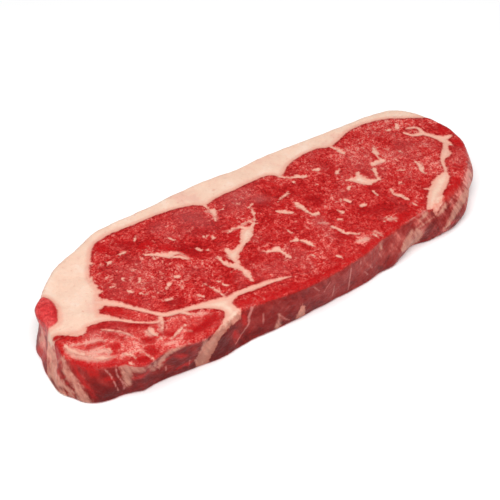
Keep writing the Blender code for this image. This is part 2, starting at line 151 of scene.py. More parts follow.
VEINS: tuple[Points, ...] = (
    # the forked vein in the middle of the eye
    ((-24.4, -28, 1.6), (-24.4, -24, 3), (-24.6, -19, 2.6), (-26.4, -14.6, 5), (-24, -9, 6), (-20.5, -7, 4),
     (-16, -4.4, 3), (-12.5, -1.2, 5.6), (-9.6, 2, 6.4), (-6, 4.4, 2.6), (-2.6, 7, 1.6), (-0.4, 12, 1.4),
     (1.4, 17.4, 1.0)), ((-24, -9, 4), (-24.6, -4.4, 3)),
    ((-30.4, -6.6, 1.6), (-30, -11, 2.2), (-28, -15, 2.4)), ((-27, -17.6, 1.6), (-30, -18, 0.9)),
    ((-18, 6.6, 1.4), (-14, 8, 1.8), (-11, 7.2, 2), (-8.4, 4.4, 2)),
    ((-8.6, 8.6, 1.0), (-5.6, 8.6, 0.9), (-2.4, 5.4, 0.9)),
    # the star and what hangs on it
    ((57, 9, 3), (60, 7.4, 6.4), (62, 4.8, 5), (65.4, 3.2, 2.6), (68.6, 3.4, 1.8)),
    ((59.4, 9.4, 3.2), (53.8, 10.6, 1.4)), ((60.6, 9, 4), (61.9, 14.6, 1.2)),
    ((61, 5, 4), (62.6, 1.4, 1.2)), ((68.4, 3.2, 1.8), (69.4, 7, 1.5), (70, 9.6, 2.2), (71.2, 12, 1.4)),
    ((72.4, 14.6, 3.0), (75, 14.8, 3.2), (78.4, 14.2, 2.4)),
    ((77.4, 15.4, 1.8), (78.2, 19, 1.8), (79, 23, 2.4), (81, 27, 0.8)),
    # the left half of the eye
    ((-90.4, 10.4, 3.4), (-88.6, 11.8, 1.0)), ((-91, 5.6, 3.6), (-88.8, 4.6, 1.0)),
    ((-91.4, 1.4, 4.4), (-88.6, 0.4, 1.2)), ((-93, -2.6, 3), (-90.6, -5, 1.0)),
    ((-86, 21, 2.8), (-84.2, 19.2, 0.8)), ((-53.4, 8, 1.6), (-50.4, 6.2, 4.4), (-48.4, 7.8, 1.4)),
    ((-56.6, 10.6, 2.4), (-57.6, 7.6, 1.0)),
    ((-60.6, 12.4, 1.4), (-57, 11, 2.2), (-54, 8.6, 2.4), (-51, 6.6, 3), (-47.4, 6, 2.4), (-45.6, 5, 1)),
    ((-49.4, 4, 1.6), (-46.4, 2.6, 2), (-44.4, 0, 1.4)), ((-60, 23.8, 1.2), (-58.2, 26.8, 1.6)),
    ((-70.6, 19, 1.4), (-67.6, 18.8, 1.2)), ((-79.2, 17.8, 1.0), (-77.4, 16, 2)),
    ((-79.4, 14.6, 1.0), (-78.4, 16, 1.4)), ((-77.2, 3.6, 1), (-76.6, 1.2, 1.4)),
    ((-84, 0.6, 1.4), (-82.4, 0.4, 1.6)), ((-70.8, -2.6, 1.6), (-69.8, -0.8, 2)),
    ((-36.4, 3.8, 1.6), (-35.6, 2.2, 2)), ((-32.8, 0.5, 1.2), (-32, 0.6, 1)),
    ((-27, 6.4, 1.4), (-25.6, 7.2, 2)), ((-29.6, 9.4, 0.8), (-27.4, 9.6, 0.8)),
    ((-44.8, 19, 0.8), (-43.6, 14.8, 1.0)), ((-78, -6, 1.2), (-76.6, -8, 0.8)),
    ((-74, -9.8, 1.0), (-71.6, -12, 1.3)), ((-62, -13.4, 1.0), (-59.6, -11.4, 1.6), (-58, -11, 0.8)),
    ((-65.4, -20.4, 1.6), (-63, -20.4, 1.0)), ((-54.6, -8.6, 1.8), (-53, -9.2, 1.2)),
    ((-45.4, -19, 0.8), (-43.6, -22.6, 1.0), (-41.6, -28, 1.4), (-41, -31, 1.0)),
    ((-38.6, -21, 0.8), (-37.4, -25, 1.4), (-35.4, -25.6, 0.8)), ((-51, -24.6, 1.0), (-49.6, -26.4, 1.6)),
    # along the back of the eye
    ((-17.8, 30.4, 2.2), (-17.4, 27, 1.4), (-16.6, 24.6, 3.2), (-17.2, 21, 1.6), (-18.8, 17, 1.2)),
    ((-14, 23.6, 1.2), (-11.4, 23, 1.0)), ((0, 17.4, 1.2), (2.4, 18.8, 1.4)),
    ((10, 8.6, 1.2), (12, 6.8, 2.4), (14.4, 4.6, 2.2), (17, 3, 1.4)),
    ((22.2, 8.4, 2), (23, 4, 2.8), (24, 0.2, 1.8), (25, -3, 2), (27.4, -3, 2.6)),
    ((15.2, 14, 1), (18.6, 16, 1.8), (22.6, 16.6, 1.4)),
    ((26, 31, 2.0), (30, 27, 1.2), (33, 26.4, 2.2), (35.4, 24.6, 1.8), (37.4, 24, 1.0)),
    ((29.4, 23.4, 1), (30, 22, 1.4)), ((43, 26.4, 1.4), (45.4, 25.4, 2.4)),
    ((52.6, 18.4, 2), (55, 20, 0.8)), ((50.8, 4.8, 2), (53, 6, 1.4)),
    ((61.6, 38, 2.4), (62.6, 35, 1.6), (64, 32, 3), (64.4, 28.4, 1)),
    # the right half of the eye
    ((92.6, 5, 1.2), (92.8, 2, 2.8), (91.4, -1.6, 3), (91, -5, 1)),
    ((101.6, 36.4, 1.2), (100.6, 33.4, 2.6)), ((80.6, 4.4, 1.6), (83.6, 2, 1)),
    ((44.4, -1.6, 1.6), (46, -4.6, 2)), ((43.6, 0, 0.8), (42.4, -1.6, 0.6)),
    ((49.4, -9.6, 1.4), (51, -9.6, 2)), ((60.8, -3, 1.6), (61, -6.6, 1.2)),
    ((75, -5, 1), (76.6, -4.6, 1.8)),
    ((69.4, -6.4, 1), (68.6, -10, 1.4), (70.6, -12.4, 3), (71.2, -15, 1.4), (72.4, -17, 1.4)),
    ((36.8, -6.4, 1.2), (38.6, -8.8, 2)), ((34, -12, 0.8), (35.6, -13.6, 0.8)),
    ((28.4, -15.6, 1.6), (30.4, -19, 1.4), (31.6, -22.2, 2.4), (34, -24, 1.6), (36.8, -26.2, 2)),
    ((84.6, 11.6, 0.8), (84.6, 10.6, 1)), ((90.4, 16.4, 1), (91, 15, 0.8)),
    ((95, 34, 2), (96.4, 35.2, 0.9)),
    # the front half of the eye
    ((-9.4, -14, 1.2), (-6.4, -15.6, 2), (-3, -15.8, 3), (-2, -19, 2), (-1.2, -22.4, 2.2),
     (-0.6, -24.4, 0.8)), ((-2, -22.4, 1.6), (-3.4, -23.4, 0.6)), ((8, -6, 1), (8.6, -9, 1.6)),
    ((5, -14.6, 1), (8.4, -15, 2)), ((10.4, -16.4, 2), (12, -19.6, 2.2), (13.4, -23.4, 0.8)),
    ((9.4, -28, 1.2), (9.6, -29, 0.8)), ((52, -26.4, 0.9), (53.4, -24.4, 1.1)),
    ((54.6, -23, 1.2), (56, -22.6, 1.6)), ((57.4, -23.4, 1.6), (58.2, -27, 0.8)),
    ((73, -21.6, 1.2), (73.4, -22.6, 0.8)), ((44.4, -28.6, 0.7), (46.2, -32, 0.9)),
    ((43, -30, 0.7), (43.4, -33.4, 0.8)), ((19, -34, 0.8), (20.6, -37, 1.0)),
    # the tail
    ((-118.2, -22.6, 0.8), (-117, -26.4, 3), (-114.4, -30.6, 2.4), (-111.4, -34, 1.6)),
    ((-110, -36.4, 1.4), (-106.4, -38.4, 2.6), (-103.2, -39.4, 1.4)),
    ((-103.4, -33, 1.4), (-101.6, -36, 2)), ((-113, -18, 2), (-108.6, -19, 3.4), (-105.6, -17.4, 2)),
    ((-80.6, -32.4, 2.4), (-80.4, -35.4, 3.2), (-79.2, -38, 1.2), (-79, -41, 0.6)),
    ((-75.4, -43, 0.9), (-70.6, -41, 1.1), (-65.4, -38.8, 0.7)),
    ((-97, -40.6, 1.2), (-94.6, -43, 1.6), (-94, -45.4, 0.8)),
    ((-89.6, -42.6, 0.8), (-88.6, -47, 1.3), (-87, -50, 1)),
    ((-97.4, -46.6, 0.7), (-95.6, -49.6, 1.0), (-92.6, -52, 1.0)), ((-62.4, -31, 3), (-60.6, -33.6, 1.6)),
)

# Small reds left inside the fat: (x, y, width)
ISLANDS: tuple[Points, ...] = (
    ((-120.4, -16.4, 1.6), (-119, -16.4, 2.4), (-116.4, -17, 1)),
    ((-27.6, -7, 1.2), (-27.6, -10.6, 1.8), (-26.4, -13, 1.2)),
)
# Soft pink washes of the upper face: (x, y, width)
PALE_TOP: tuple[Points, ...] = (
    ((-118, -22.4, 2.4), (-117.4, -27, 6.4), (-114.4, -32, 6.8), (-110, -36.4, 6.2), (-105, -39, 4.8),
     (-101.6, -40, 2.4)), ((-115.6, -24, 2.6), (-110, -26, 2.8), (-104, -27.4, 2.4), (-101.6, -29.4, 2.2)),
    ((-112, -31.6, 1.6), (-107, -34, 4.4), (-103.6, -35.2, 4.6), (-103, -37, 3.4)),
    ((-101.4, -22.8, 0.8), (-96.6, -24.6, 1.8), (-92.4, -28.4, 1.8), (-89.4, -32.4, 1.8),
     (-88.2, -36, 1.4)),
    ((-101, -31.6, 1), (-98, -31.4, 1), (-96, -33.4, 1), (-96.4, -36.4, 1), (-99, -37.6, 0.8)),
    ((-90, -36, 1), (-91, -39, 1.4), (-89.4, -42, 1)), ((-100, -41.6, 2), (-95, -41, 3), (-90, -42, 2)),
    ((-60, -34, 2), (-56, -36, 2.6), (-52, -37, 1.4)), ((-83, -33, 3), (-82, -36, 4)),
    ((-77, -38, 1), (-76, -34, 2)), ((-68, -42, 2), (-65, -43.4, 2.4)),
    ((-93, -44.6, 1), (-88.6, -46, 1.4), (-87.4, -49.6, 1.4)),
    ((-79, -44.6, 1.2), (-74, -46, 1.6), (-70, -44, 1)), ((34, -30.6, 4), (38, -31.6, 4)),
    ((24, -10, 2), (27, -12, 3)), ((56, -25, 4), (59, -26, 3)), ((45, -29, 3), (46, -33, 2.4)),
    ((-52, 9, 2), (-47, 6.6, 3), (-44, 1, 3), (-43.6, -4, 1)), ((-20, 26, 2), (-17, 24, 4), (-18, 18, 3)),
    ((-20, 8.4, 2), (-10, 7, 3), (-4, 9, 2)), ((-6, 11, 1), (-8, 14, 1)), ((62.6, 36, 3), (64, 31, 4)),
    ((106, 27, 1), (108, 26, 1)),
)

# Brighter and deeper reds of the upper face: (x, y, width)
VIVID_TOP: tuple[Points, ...] = (
    ((-94, -12, 2), (-90, -14, 4), (-84, -20, 2)), ((-85, -38.4, 5), (-83.6, -38.8, 5)),
    ((-109.6, -29.4, 3.4), (-104.4, -29.8, 3.6)), ((-87, -42, 2.4), (-85.6, -45, 5), (-84.4, -46.4, 4)),
    ((-78.4, -37.4, 2.6), (-73, -41, 3)), ((-93.4, -47, 4), (-89.6, -49, 5)),
    ((-65.6, -44.6, 5), (-60, -43.4, 5), (-52, -40.8, 5)), ((-120.4, -18, 3), (-115, -19.4, 2.4)),
    ((-101, -35, 2), (-98.4, -35, 2.4)), ((-120.8, -21, 2.6), (-120.4, -25, 2)),
    ((-119.6, -29, 2), (-117.4, -34.6, 3), (-111.6, -39.8, 4), (-103, -43.4, 4)),
    ((-37, -39.4, 3), (-28, -40, 4), (-18, -41.6, 3), (-6, -42.8, 4), (6, -41.6, 3), (22, -39.4, 3),
     (34, -36.6, 3)), ((36, -36, 3), (41, -34, 4)),
    ((52, -28, 3), (60, -27.6, 4), (70, -24.6, 3), (77, -22.6, 3)), ((82, -16, 3), (86, -12, 3)),
    ((103, -12, 2), (99, -19, 3)), ((121, 9, 3), (121.6, 5, 3)), ((121, 24, 3), (120, 18, 3)),
    ((76, 21.6, 3), (77, 18, 2)), ((-51, 12, 3), (-48, 9, 3)), ((-77, 29, 3), (-76, 26.6, 3)),
    ((11, 12, 3), (14, 10, 3)), ((-18, 3, 4), (-16, 1, 4)), ((-60, 17, 5), (-56, 18, 4)),
)
DEEP_TOP: tuple[Points, ...] = (
    ((-106, -20, 2), (-99, -20, 3), (-91, -23.4, 3.4), (-84, -28, 3), (-78, -32.4, 2)),
    ((-98, -27, 3), (-94, -32, 3)), ((-42, 9, 5), (-39, 1, 5)), ((-33, 16, 5), (-28, 12, 6)),
    ((4, 17, 4), (10, 15, 6)), ((31, 8, 4), (32, 3, 6)), ((64.6, 12.6, 3), (65.4, 8.4, 2)),
    ((-70, 28, 5), (-64, 22, 5)), ((-22, -17, 4), (-14, -17, 5)),
    ((-114.6, -7, 2), (-113.4, -3, 2), (-112.6, 2, 1.4)), ((30, -22, 4), (33, -28, 3)),
    ((48, -13, 6), (58, -17, 7)), ((-66, -21, 4), (-60, -24, 5)), ((-8, -8, 5), (-4, -7, 4)),
    ((60, 0, 3), (64, -1.6, 3)), ((-85, -38.4, 3.4), (-84, -38.6, 3.4)), ((-86.6, -43, 2), (-84.8, -46, 4)),
    ((-77.8, -37.8, 1.6), (-73.4, -40.8, 2)), ((-64.6, -44.4, 3), (-57, -42.8, 3.4), (-52, -40.6, 3)),
    ((-93, -47.4, 2.4), (-90, -48.6, 3)),
)

# Marks of the side walls: (x, y, z, width)
PALE_WALL: tuple[Points, ...] = (
    # the corner by the rim muscle
    ((-121, 0, 18, 1.0), (-121, -3, 12, 2.4), (-121, -1, 8, 2.0)),
    ((-122, -19, 10, 1.2), (-122, -24, 15, 1.0), (-121.5, -28, 21, 1.4)),
    ((-122, -20, 8, 4), (-122, -25, 8, 5), (-121, -29, 7, 3)),
    ((-121, -30, 7.4, 2.4), (-120, -31.6, 4.6, 2.6), (-119.4, -32.4, 2, 3)),
    ((-121.4, -28, 21, 1.2), (-120.8, -29.8, 16, 2.8), (-118.4, -33, 11, 3.8), (-116.4, -35.4, 6, 4.4),
     (-114.4, -37.6, 1, 5.2)),
    # the front of the tail
    ((-101, -45, 20, 2.4), (-97, -48.4, 19, 5), (-93.4, -50.6, 17.4, 4), (-91.6, -51, 15.6, 1.4)),
    ((-99.6, -46, 18, 4), (-99.4, -46.2, 12, 3.6), (-98.6, -46.6, 8, 2)),
    ((-91, -51, 21.4, 0.8), (-87.4, -50.6, 15, 1.2), (-84.6, -49.6, 11, 0.8)),
    ((-88.4, -51, 21.4, 1.4), (-86, -50, 16, 1.6), (-84.4, -49.4, 11.4, 0.8)),
    ((-71, -49.6, 22.6, 0.8), (-75.6, -49.2, 21.8, 2.6), (-79.4, -49, 20, 3.6), (-82, -49, 16, 2.8),
     (-83.4, -49.4, 11, 1.0)),
    ((-61, -49.6, 20, 2), (-62, -50, 14, 3), (-63.4, -50, 8, 3), (-64.6, -50, 5, 2)),
    # under the middle of the eye
    ((-18, -44, 10, 0.5), (-18.4, -44, 6, 2.0), (-17.6, -44, 3, 3.6)),
    # under the right half of the eye
    ((43.6, -35.2, 20, 1.2), (44.6, -34.8, 17, 1.8)),
    ((64.4, -30, 15, 2.6), (61, -31, 12.4, 4.6), (59, -31.4, 9, 5)),
    ((66, -29.8, 14, 3.6), (69, -29.2, 9, 5.6), (70, -29, 4, 6)), ((62, -30.6, 8, 5.6), (66, -29.8, 4, 6)),
    ((62.6, -30.4, 13, 3.6), (65.6, -29.8, 9.4, 4.4), (67.6, -29.4, 6, 4)),
    ((69, -29.2, 19, 1.0), (73, -28.4, 19.4, 1.8), (76, -28, 20.6, 1.6)),
    ((81.6, -26.6, 16, 1.2), (85.6, -25.8, 17.4, 2.4), (89.6, -24.8, 18.6, 0.8)),
    ((71, -28.8, 15.6, 0.6), (76, -28, 16, 0.5), (82.6, -26.2, 16.4, 0.4)),
    # the round end
    ((103, -18.4, 15, 4.6), (97, -21.4, 13, 5.6), (91, -24.2, 10.6, 4.2), (86, -25.8, 6.4, 2.0)),
    ((108.6, -14, 13, 5), (104.6, -17, 11.4, 6), (107.4, -14.8, 7.4, 5.6)),
    ((110, -12.6, 14, 1.6), (114, -9, 9, 2.2), (117, -6, 5, 2.0)),
    ((113, -10, 17, 1.0), (117.6, -5, 12, 1.4), (120.6, -1, 7, 1.2)),
    ((118.4, -4, 19, 0.8), (121.6, 1, 13, 1.0)),
)
FAT_WALL: tuple[Points, ...] = (
    ((-43, -43.4, 21.6, 8), (-47, -45.2, 21, 6), (-52, -47, 19.2, 5), (-56, -48, 16, 6.6),
     (-58, -48.6, 11, 7.6), (-60, -49.4, 5, 7.6), (-61, -49.6, 2, 7)),
    ((-41.4, -43.4, 20.4, 2), (-40.6, -43.4, 18, 1.4)),
    ((-6, -45, 13.4, 0.6), (-6.4, -45, 8, 3), (-6, -45, 3, 6)),
    ((85.4, -25.8, 22.8, 7), (83.6, -26, 21, 5), (82, -26.4, 19, 2.6), (80.6, -26.8, 17.2, 0.8)),
)
VIVID_WALL: tuple[Points, ...] = (
    ((-121, -17.4, 22, 2.6), (-121.6, -20, 21, 3), (-121, -18.6, 17.6, 1.6)),
    ((-121.4, -24, 22.6, 1.6), (-121.6, -25, 21.6, 1)), ((-121, -2, 22, 3), (-120.6, -5, 20.4, 1.6)),
    ((-121, -2, 4, 3), (-120.6, -8, 5, 4), (-121, -12, 8, 3)),
    ((-121.4, -17, 8, 2.6), (-121.6, -19, 6, 1.6)),
    ((-121.8, -21, 18, 3.6), (-122, -24, 17, 4.8), (-122, -26.4, 18.4, 2.8)),
    ((-121.8, -20, 10.6, 1.2), (-122, -22.6, 12.4, 1.8)),
    ((-122, -24.6, 10.6, 1.0), (-121.8, -26.8, 11.6, 1.6)),
    ((-119.6, -31.4, 21, 2.4), (-117, -34.4, 16, 1.8), (-114, -38, 9, 1.2), (-111.6, -40.4, 3, 0.4)),
    ((-118, -33.4, 22, 3), (-114, -38, 20.6, 5), (-112, -39.8, 18, 4)),
    ((-106, -43, 22.4, 2.4), (-100, -46, 22.6, 2.4)), ((-95, -49.8, 21.4, 1.4), (-91, -51, 20, 1.4)),
    ((-38, -43, 18, 2.6), (-37.4, -43, 13, 2.6)), ((-44, -44.2, 12, 2.6), (-42, -43.8, 7, 2.6)),
    ((46, -34.4, 22, 1.4), (57, -31.4, 21.8, 1.2)),
    ((89, -25, 21, 3), (96, -21.8, 21.6, 4), (104, -17, 22, 3)), ((89.6, -24.8, 8, 3), (92, -24, 5, 3)),
    ((-82, -49, 13, 1.6), (-76, -49, 16, 1.8), (-70, -50, 13, 1.8)),
    ((-74, -49.6, 6, 1.8), (-68, -50, 7, 2.2)), ((-108, -42, 14, 1.2), (-104, -43.8, 13, 1.2)),
    ((-97, -48, 12, 1.8), (-90, -51, 13, 2.2)),
)
DEEP_WALL: tuple[Points, ...] = (
    ((-120.6, -6, 14, 1.6), (-121, -10, 15, 2.4), (-121, -13, 13.4, 1.6)),
    ((-121.8, -27, 13.4, 1.8), (-121, -29.4, 12.6, 1.6), (-119.8, -31, 9.6, 0.8), (-118.4, -33, 6, 0.8),
     (-117.4, -34.4, 3, 1.6)), ((-121.6, -20.6, 2.6, 2.6), (-122, -25, 2.6, 2.2)),
    ((-121.4, -29, 6.4, 1.8), (-122, -27.6, 3.4, 2.2)),
    ((-111.4, -40.4, 12, 3), (-109, -41.8, 7, 5), (-106, -43, 6, 5), (-103, -44.4, 5, 4)),
    ((-112.6, -39.4, 3, 2), (-110, -41, 2, 2)), ((-104, -44, 17, 1.2), (-103.4, -44.2, 10, 2)),
    ((-96, -49, 9, 2.4), (-90, -51, 7.6, 4), (-85, -50, 6, 3), (-83.4, -49.4, 5, 1.6)),
    ((-84.4, -49.6, 20, 1.0), (-84, -49.6, 15, 1.6)),
    ((-78.6, -49, 16, 2), (-77, -49, 12.6, 5), (-75, -49.4, 9.6, 3)),
    ((-72, -50, 20, 1.6), (-71.6, -50, 18, 1.2)), ((-69.6, -50, 15, 3), (-68.6, -50, 11, 3.4)),
    ((-64.6, -50, 6.4, 0.8), (-65.4, -50, 4, 0.8)),
    ((-50.6, -46.6, 15, 2.4), (-51, -46.8, 10, 4.6), (-50, -46.4, 5, 4.6)),
    ((-46, -44.6, 17, 1.6), (-43, -43.8, 13.6, 1.4)), ((-36, -43, 5, 2), (-30, -42.8, 4, 2)),
    ((-11.6, -44.8, 9, 1.4), (-12.6, -44.6, 5, 1.6)), ((0, -45, 8, 1.8), (8, -44, 4.6, 2.4)),
    ((12.6, -43.2, 13, 0.6), (14, -43, 7, 1.0)), ((24, -41.6, 8.4, 1.6), (26, -41, 6, 1.2)),
    ((27, -40.8, 20.4, 1.0), (25.8, -41.2, 19, 0.6)), ((42.4, -36.2, 6, 2.4), (43.6, -35.6, 4, 2)),
    ((49, -33.6, 9, 2), (47, -34.2, 6, 2)),
    ((77.4, -27.6, 19.4, 1.4), (79.4, -27, 18.4, 1.8), (81.4, -26.6, 17.6, 0.8)),
    ((79.6, -27, 13, 4), (77, -27.8, 10.6, 5), (75.6, -28, 7, 4)), ((71, -28.8, 3.4, 2), (75.6, -28, 4, 3)),
    ((66, -29.8, 20.6, 0.5), (60, -30.8, 20, 0.5)), ((88, -25.2, 16.6, 1.4), (91, -24.4, 17, 1.0)),
    ((92.6, -23.8, 9, 1.4), (97, -21.4, 6, 2.2)), ((88, -25.2, 5, 2.0), (94, -23, 3, 3.6)),
    ((99, -20.4, 12.4, 1.6), (100.6, -19.4, 11.6, 1.4)), ((109, -14, 3.4, 1.8), (110.6, -12.6, 2.4, 1.6)),
    ((112, -11, 17, 0.5), (116, -7, 10, 0.5)), ((117, -6, 20, 0.5), (121.4, 0.6, 12, 0.5)),
)

# Thin pale threads of the side walls: (x, y, z, width)
THREADS: tuple[Points, ...] = (
    ((-107.5, -42, 19.5, 0.7), (-105.3, -43, 15, 0.8), (-104, -43.8, 5.5, 0.6)),
    ((-103.8, -44, 21, 0.8), (-102.2, -44.6, 16, 0.9), (-101.6, -45, 10, 0.7), (-101.2, -45, 4.5, 0.6)),
    ((-74, -49.6, 23.6, 0.7), (-71.5, -50, 23, 0.9), (-67, -50, 21.4, 0.9), (-63, -50, 20.2, 0.8),
     (-58, -48.6, 20.6, 0.6)),
    ((-33, -42.4, 21, 1.6), (-33.8, -42.4, 16, 1.4), (-34.5, -42.6, 12, 1.0), (-36.5, -43, 9, 0.8),
     (-41, -43.6, 6, 0.8), (-44.5, -44, 4, 0.6)), ((-26.6, -43, 15, 0.8), (-28.4, -42.6, 9, 0.7)),
    ((-18, -44, 10.5, 0.7), (-20.4, -44, 5, 0.7)),
    ((-18, -44, 10.5, 0.7), (-15.6, -44.2, 6, 0.8), (-14.4, -44.2, 3, 0.6)),
    ((-85.6, -50, 14, 0.6), (-83, -49.4, 9.6, 0.6)),
    ((21.3, -42, 18, 1.2), (21.8, -42, 11.5, 0.9), (22.2, -42, 7.5, 0.8), (24, -41.6, 3, 0.7)),
    ((28, -40.4, 20, 0.8), (28.6, -40.2, 14.6, 0.6)), ((34, -39, 13, 0.6), (36.6, -38.4, 9, 0.6)),
    ((31, -39.6, 10, 0.6), (33.4, -39, 6, 0.6)), ((41, -36.6, 16, 0.6), (43, -35.8, 11, 0.6)),
    ((8, -43.6, 17, 0.6), (6.6, -43.8, 12, 0.6)), ((12.6, -43, 12, 0.7), (14, -43, 5, 0.6)),
    ((-1, -44.6, 19, 0.6), (2, -44.6, 15, 0.6)),
    ((62, -30.4, 21.6, 0.7), (69, -29.2, 21.4, 1.0), (75, -28.2, 21.8, 1.1), (80, -27, 22.6, 1.4)),
    ((114, -9, 21.4, 1.1), (117.4, -5, 17, 1.3), (120, -2, 12, 1.1)),
    ((117, -5.6, 22, 1.0), (120.6, -1.4, 17.4, 1.2), (122.4, 2, 13, 1.0)),
    ((119.6, -3, 22.6, 0.9), (122.4, 2, 18, 1.0), (124, 6, 14, 0.8)),
    ((106, -15.4, 17, 1.0), (110, -12.6, 12, 1.0), (113, -10, 8, 0.9)),
    ((-80, -49, 10, 0.6), (-79, -49, 7, 0.6)), ((-70, -50, 9, 0.6), (-68, -50, 6, 0.6)),
    ((91, -24.2, 18.2, 0.6), (94.6, -22.8, 18.4, 0.6)),
)

# How far the look of the wall creeps onto the cut face, or that of the face over the edge where it is
# below 0: (x, y, reach, mm)
CREEPS: Points = (
    (-78, -48, 7, 1.9), (-70, -49, 5, 0.8), (-62, -50, 6, -1.0), (-94, -50, 8, -0.8), (-114, -38, 10, -1.2),
    (-36, -42, 8, 0.4), (-10, -44, 12, 0.6), (16, -42, 16, 0.8), (48, -34, 16, 0.6), (70, -29, 10, 1.0),
    (92, -24, 6, 1.4), (107, -14, 5, -0.6), (118, -4, 10, -0.6), (-121, -3, 4.5, -3.2),
    (-121, -12, 4.5, -4.0), (-121.5, -19, 4, -2.2),
)

# Soft changes of tone of the upper face: (x, y, reach, strength), pale above 0 and deep below
TONES: Points = (
    (-95, -38, 8, 0.7), (-88, -42, 5, 0.3), (-72, -45, 5, 0.5), (-66, -34, 7, 0.7), (-72, -36, 6, 0.2),
    (-80, -39, 20, 0.5), (-110, -31, 8, 1.0), (-105, -24, 5, 1.0), (-56, -37, 6, 1.0), (-78, -47, 5, 0.9),
    (-85, -20, 8, 0.3), (-82, -36, 6, 0.6), (37, -31, 5, 1.0), (25, -36, 6, 0.6), (-10, -28, 8, 0.5),
    (26, -11, 4, 1.1), (68, 30, 10, 0.5), (94, 34, 8, 0.4), (106, 34, 8, 0.5), (117, 2, 6, 0.4),
    (-42, 22, 5, 0.6), (-50, 32, 10, 0.3), (44, -16, 12, -0.5), (60, -18, 10, -0.5), (-20, 10, 9, -0.5),
    (-38, 6, 8, -0.7), (-62, 20, 8, -0.6), (8, 14, 7, -0.6), (34, 10, 8, -0.4), (-10, -10, 8, -0.4),
    (-60, -22, 9, -0.4), (50, 30, 8, -0.3), (90, -4, 14, 0.7), (104, 10, 12, 0.7), (76, 22, 14, 0.6),
    (44, 4, 26, 0.25), (-102, -28, 12, 0.6), (-80, -38, 12, 0.6), (-58, -42, 10, 0.3), (-84, 8, 8, 0.2),
    (15, -28, 10, 0.3), (58, -24, 7, 0.6),
)
# The same of the side walls
WALL_TONES: Points = (
    (-121, -3, 8, 2.3), (-125, -25, 8, 0.9), (-118, -33, 6, 0.2), (-106, -44, 10, -0.4),
    (-88, -50, 8, -0.1), (-74, -48, 10, -0.3), (-55, -48, 9, -1.1), (-30, -43, 12, -0.1),
    (-6, -45, 10, -0.3), (14, -42, 12, 0.3), (36, -38, 14, 0.7), (54, -32, 10, 0.7), (72, -29, 8, 1.0),
    (86, -26, 6, 0.6), (98, -22, 8, 1.2), (110, -12, 8, 3.0), (119, 0, 9, 2.2), (122, 16, 12, 1.0),
    (60, 52, 36, 2.6), (-20, 50, 40, 2.6), (-92, 34, 18, 2.2),
)
# Where small flecks of fat are dense: (x, y, reach, strength)
FLECKED: Points = (
    (-76, 4, 14, 0.65), (-64, -12, 14, 0.7), (-80, 22, 12, 0.5), (-50, -12, 12, 0.5), (-58, 14, 12, 0.5),
    (-36, 20, 12, 0.5), (-10, 16, 14, 0.4), (14, -6, 14, 0.3), (40, 30, 14, 0.4), (84, 34, 16, 0.5),
    (100, 18, 14, 0.3), (84, -2, 12, 0.3), (46, 6, 14, 0.2), (-90, -37, 12, -1.0), (-74, -36, 9, -0.8),
    (50, -16, 14, -0.6), (20, -38, 12, -0.4), (-20, -40, 10, -0.3), (-90, -14, 8, -1.2), (-4, -26, 10, 0.3),
    (-80, -22, 9, -1.2), (-100, -22, 12, -1.6), (-62, -40, 12, -1.2), (-88, -48, 8, -1.0),
    (-112, -34, 12, -1.4), (-20, 4, 10, -0.3), (-36, 8, 8, -0.3), (-60, -2, 16, 0.2), (24, 20, 10, -0.3),
    (66, 2, 10, -0.3),
)
# Dull grey-mauve film on the upper face: (x, y, reach, strength)
DULLS: Points = (
    (-30, 27, 8, 0.8), (-46, 27, 5, 0.6), (-5, 25, 8, 0.6), (4, 27, 6, 0.5), (-24, 18, 6, 0.5),
    (8, 20, 3.4, 1.0), (66, 22, 9, 0.4), (-9, -29, 6, 0.4), (24, -10, 4, 0.5), (-60, 6, 8, 0.25),
    (88, 14, 8, 0.25), (-104, -23, 4, 0.6), (-94, -24, 5, 0.5), (-74, -17, 4, 0.4),
)


def colour(code: str) -> tuple[float, float, float, float]:
    """Turns an sRGB hex code into a linear colour.

    Args:
        code: Six hex digits.

    Returns:
        Red, green, blue and alpha.
    """
    parts = [int(code[at:at + 2], 16) / 255 for at in (0, 2, 4)]
    linear = [part / 12.92 if part <= 0.04045 else ((part + 0.055) / 1.055) ** 2.4 for part in parts]
    return (*linear, 1.0)


def smooth_line(points: Points, closed: bool, steps: int = 5) -> np.ndarray:
    """Reads a smooth curve through the given points.

    Args:
        points: Points of two or more numbers.
        closed: Whether the curve runs back to its first point.
        steps: Points for each stretch.

    Returns:
        One row for each point of the curve.
    """
    given = np.array(points, float)
    if closed:
        padded = np.vstack([given[-1:], given, given[:2]])
    else:
        padded = np.vstack([given[:1], given, given[-1:]])
    before, start, end, after = padded[:-3], padded[1:-2], padded[2:-1], padded[3:]
    t = np.linspace(0, 1, steps, endpoint=False)[:, None, None]
    curve = 0.5 * (
        2 * start
        + (end - before) * t
        + (2 * before - 5 * start + 4 * end - after) * t**2
        + (3 * start - before - 3 * end + after) * t**3
    )
    line = curve.transpose(1, 0, 2).reshape(-1, given.shape[1])
    return line if closed else np.vstack([line, given[-1:]])


def stroke_depth(places: np.ndarray, stroke: np.ndarray) -> np.ndarray:
    """Measures how far inside a tapered stroke each place lies.

    Args:
        places: Flat places, one row each.
        stroke: Rows of two coordinates and a width.

    Returns:
        The depth of each place, below 0 outside the stroke and never under -FAR.
    """
    depth = np.full(len(places), -FAR)
    reach = FAR + stroke[:, 2].max()
    low, high = stroke[:, :2].min(axis=0) - reach, stroke[:, :2].max(axis=0) + reach
    near = np.flatnonzero(((places > low) & (places < high)).all(axis=1))
    close = places[near]
    best = depth[near]
    for start, end in zip(stroke[:-1], stroke[1:]):
        along = end[:2] - start[:2]
        share = np.clip((close - start[:2]) @ along / max(along @ along, TINY), 0.0, 1.0)
        away = np.linalg.norm(close - start[:2] - share[:, None] * along, axis=1)
        best = np.maximum(best, (start[2] + share * (end[2] - start[2])) / 2 - away)
    depth[near] = best
    return depth


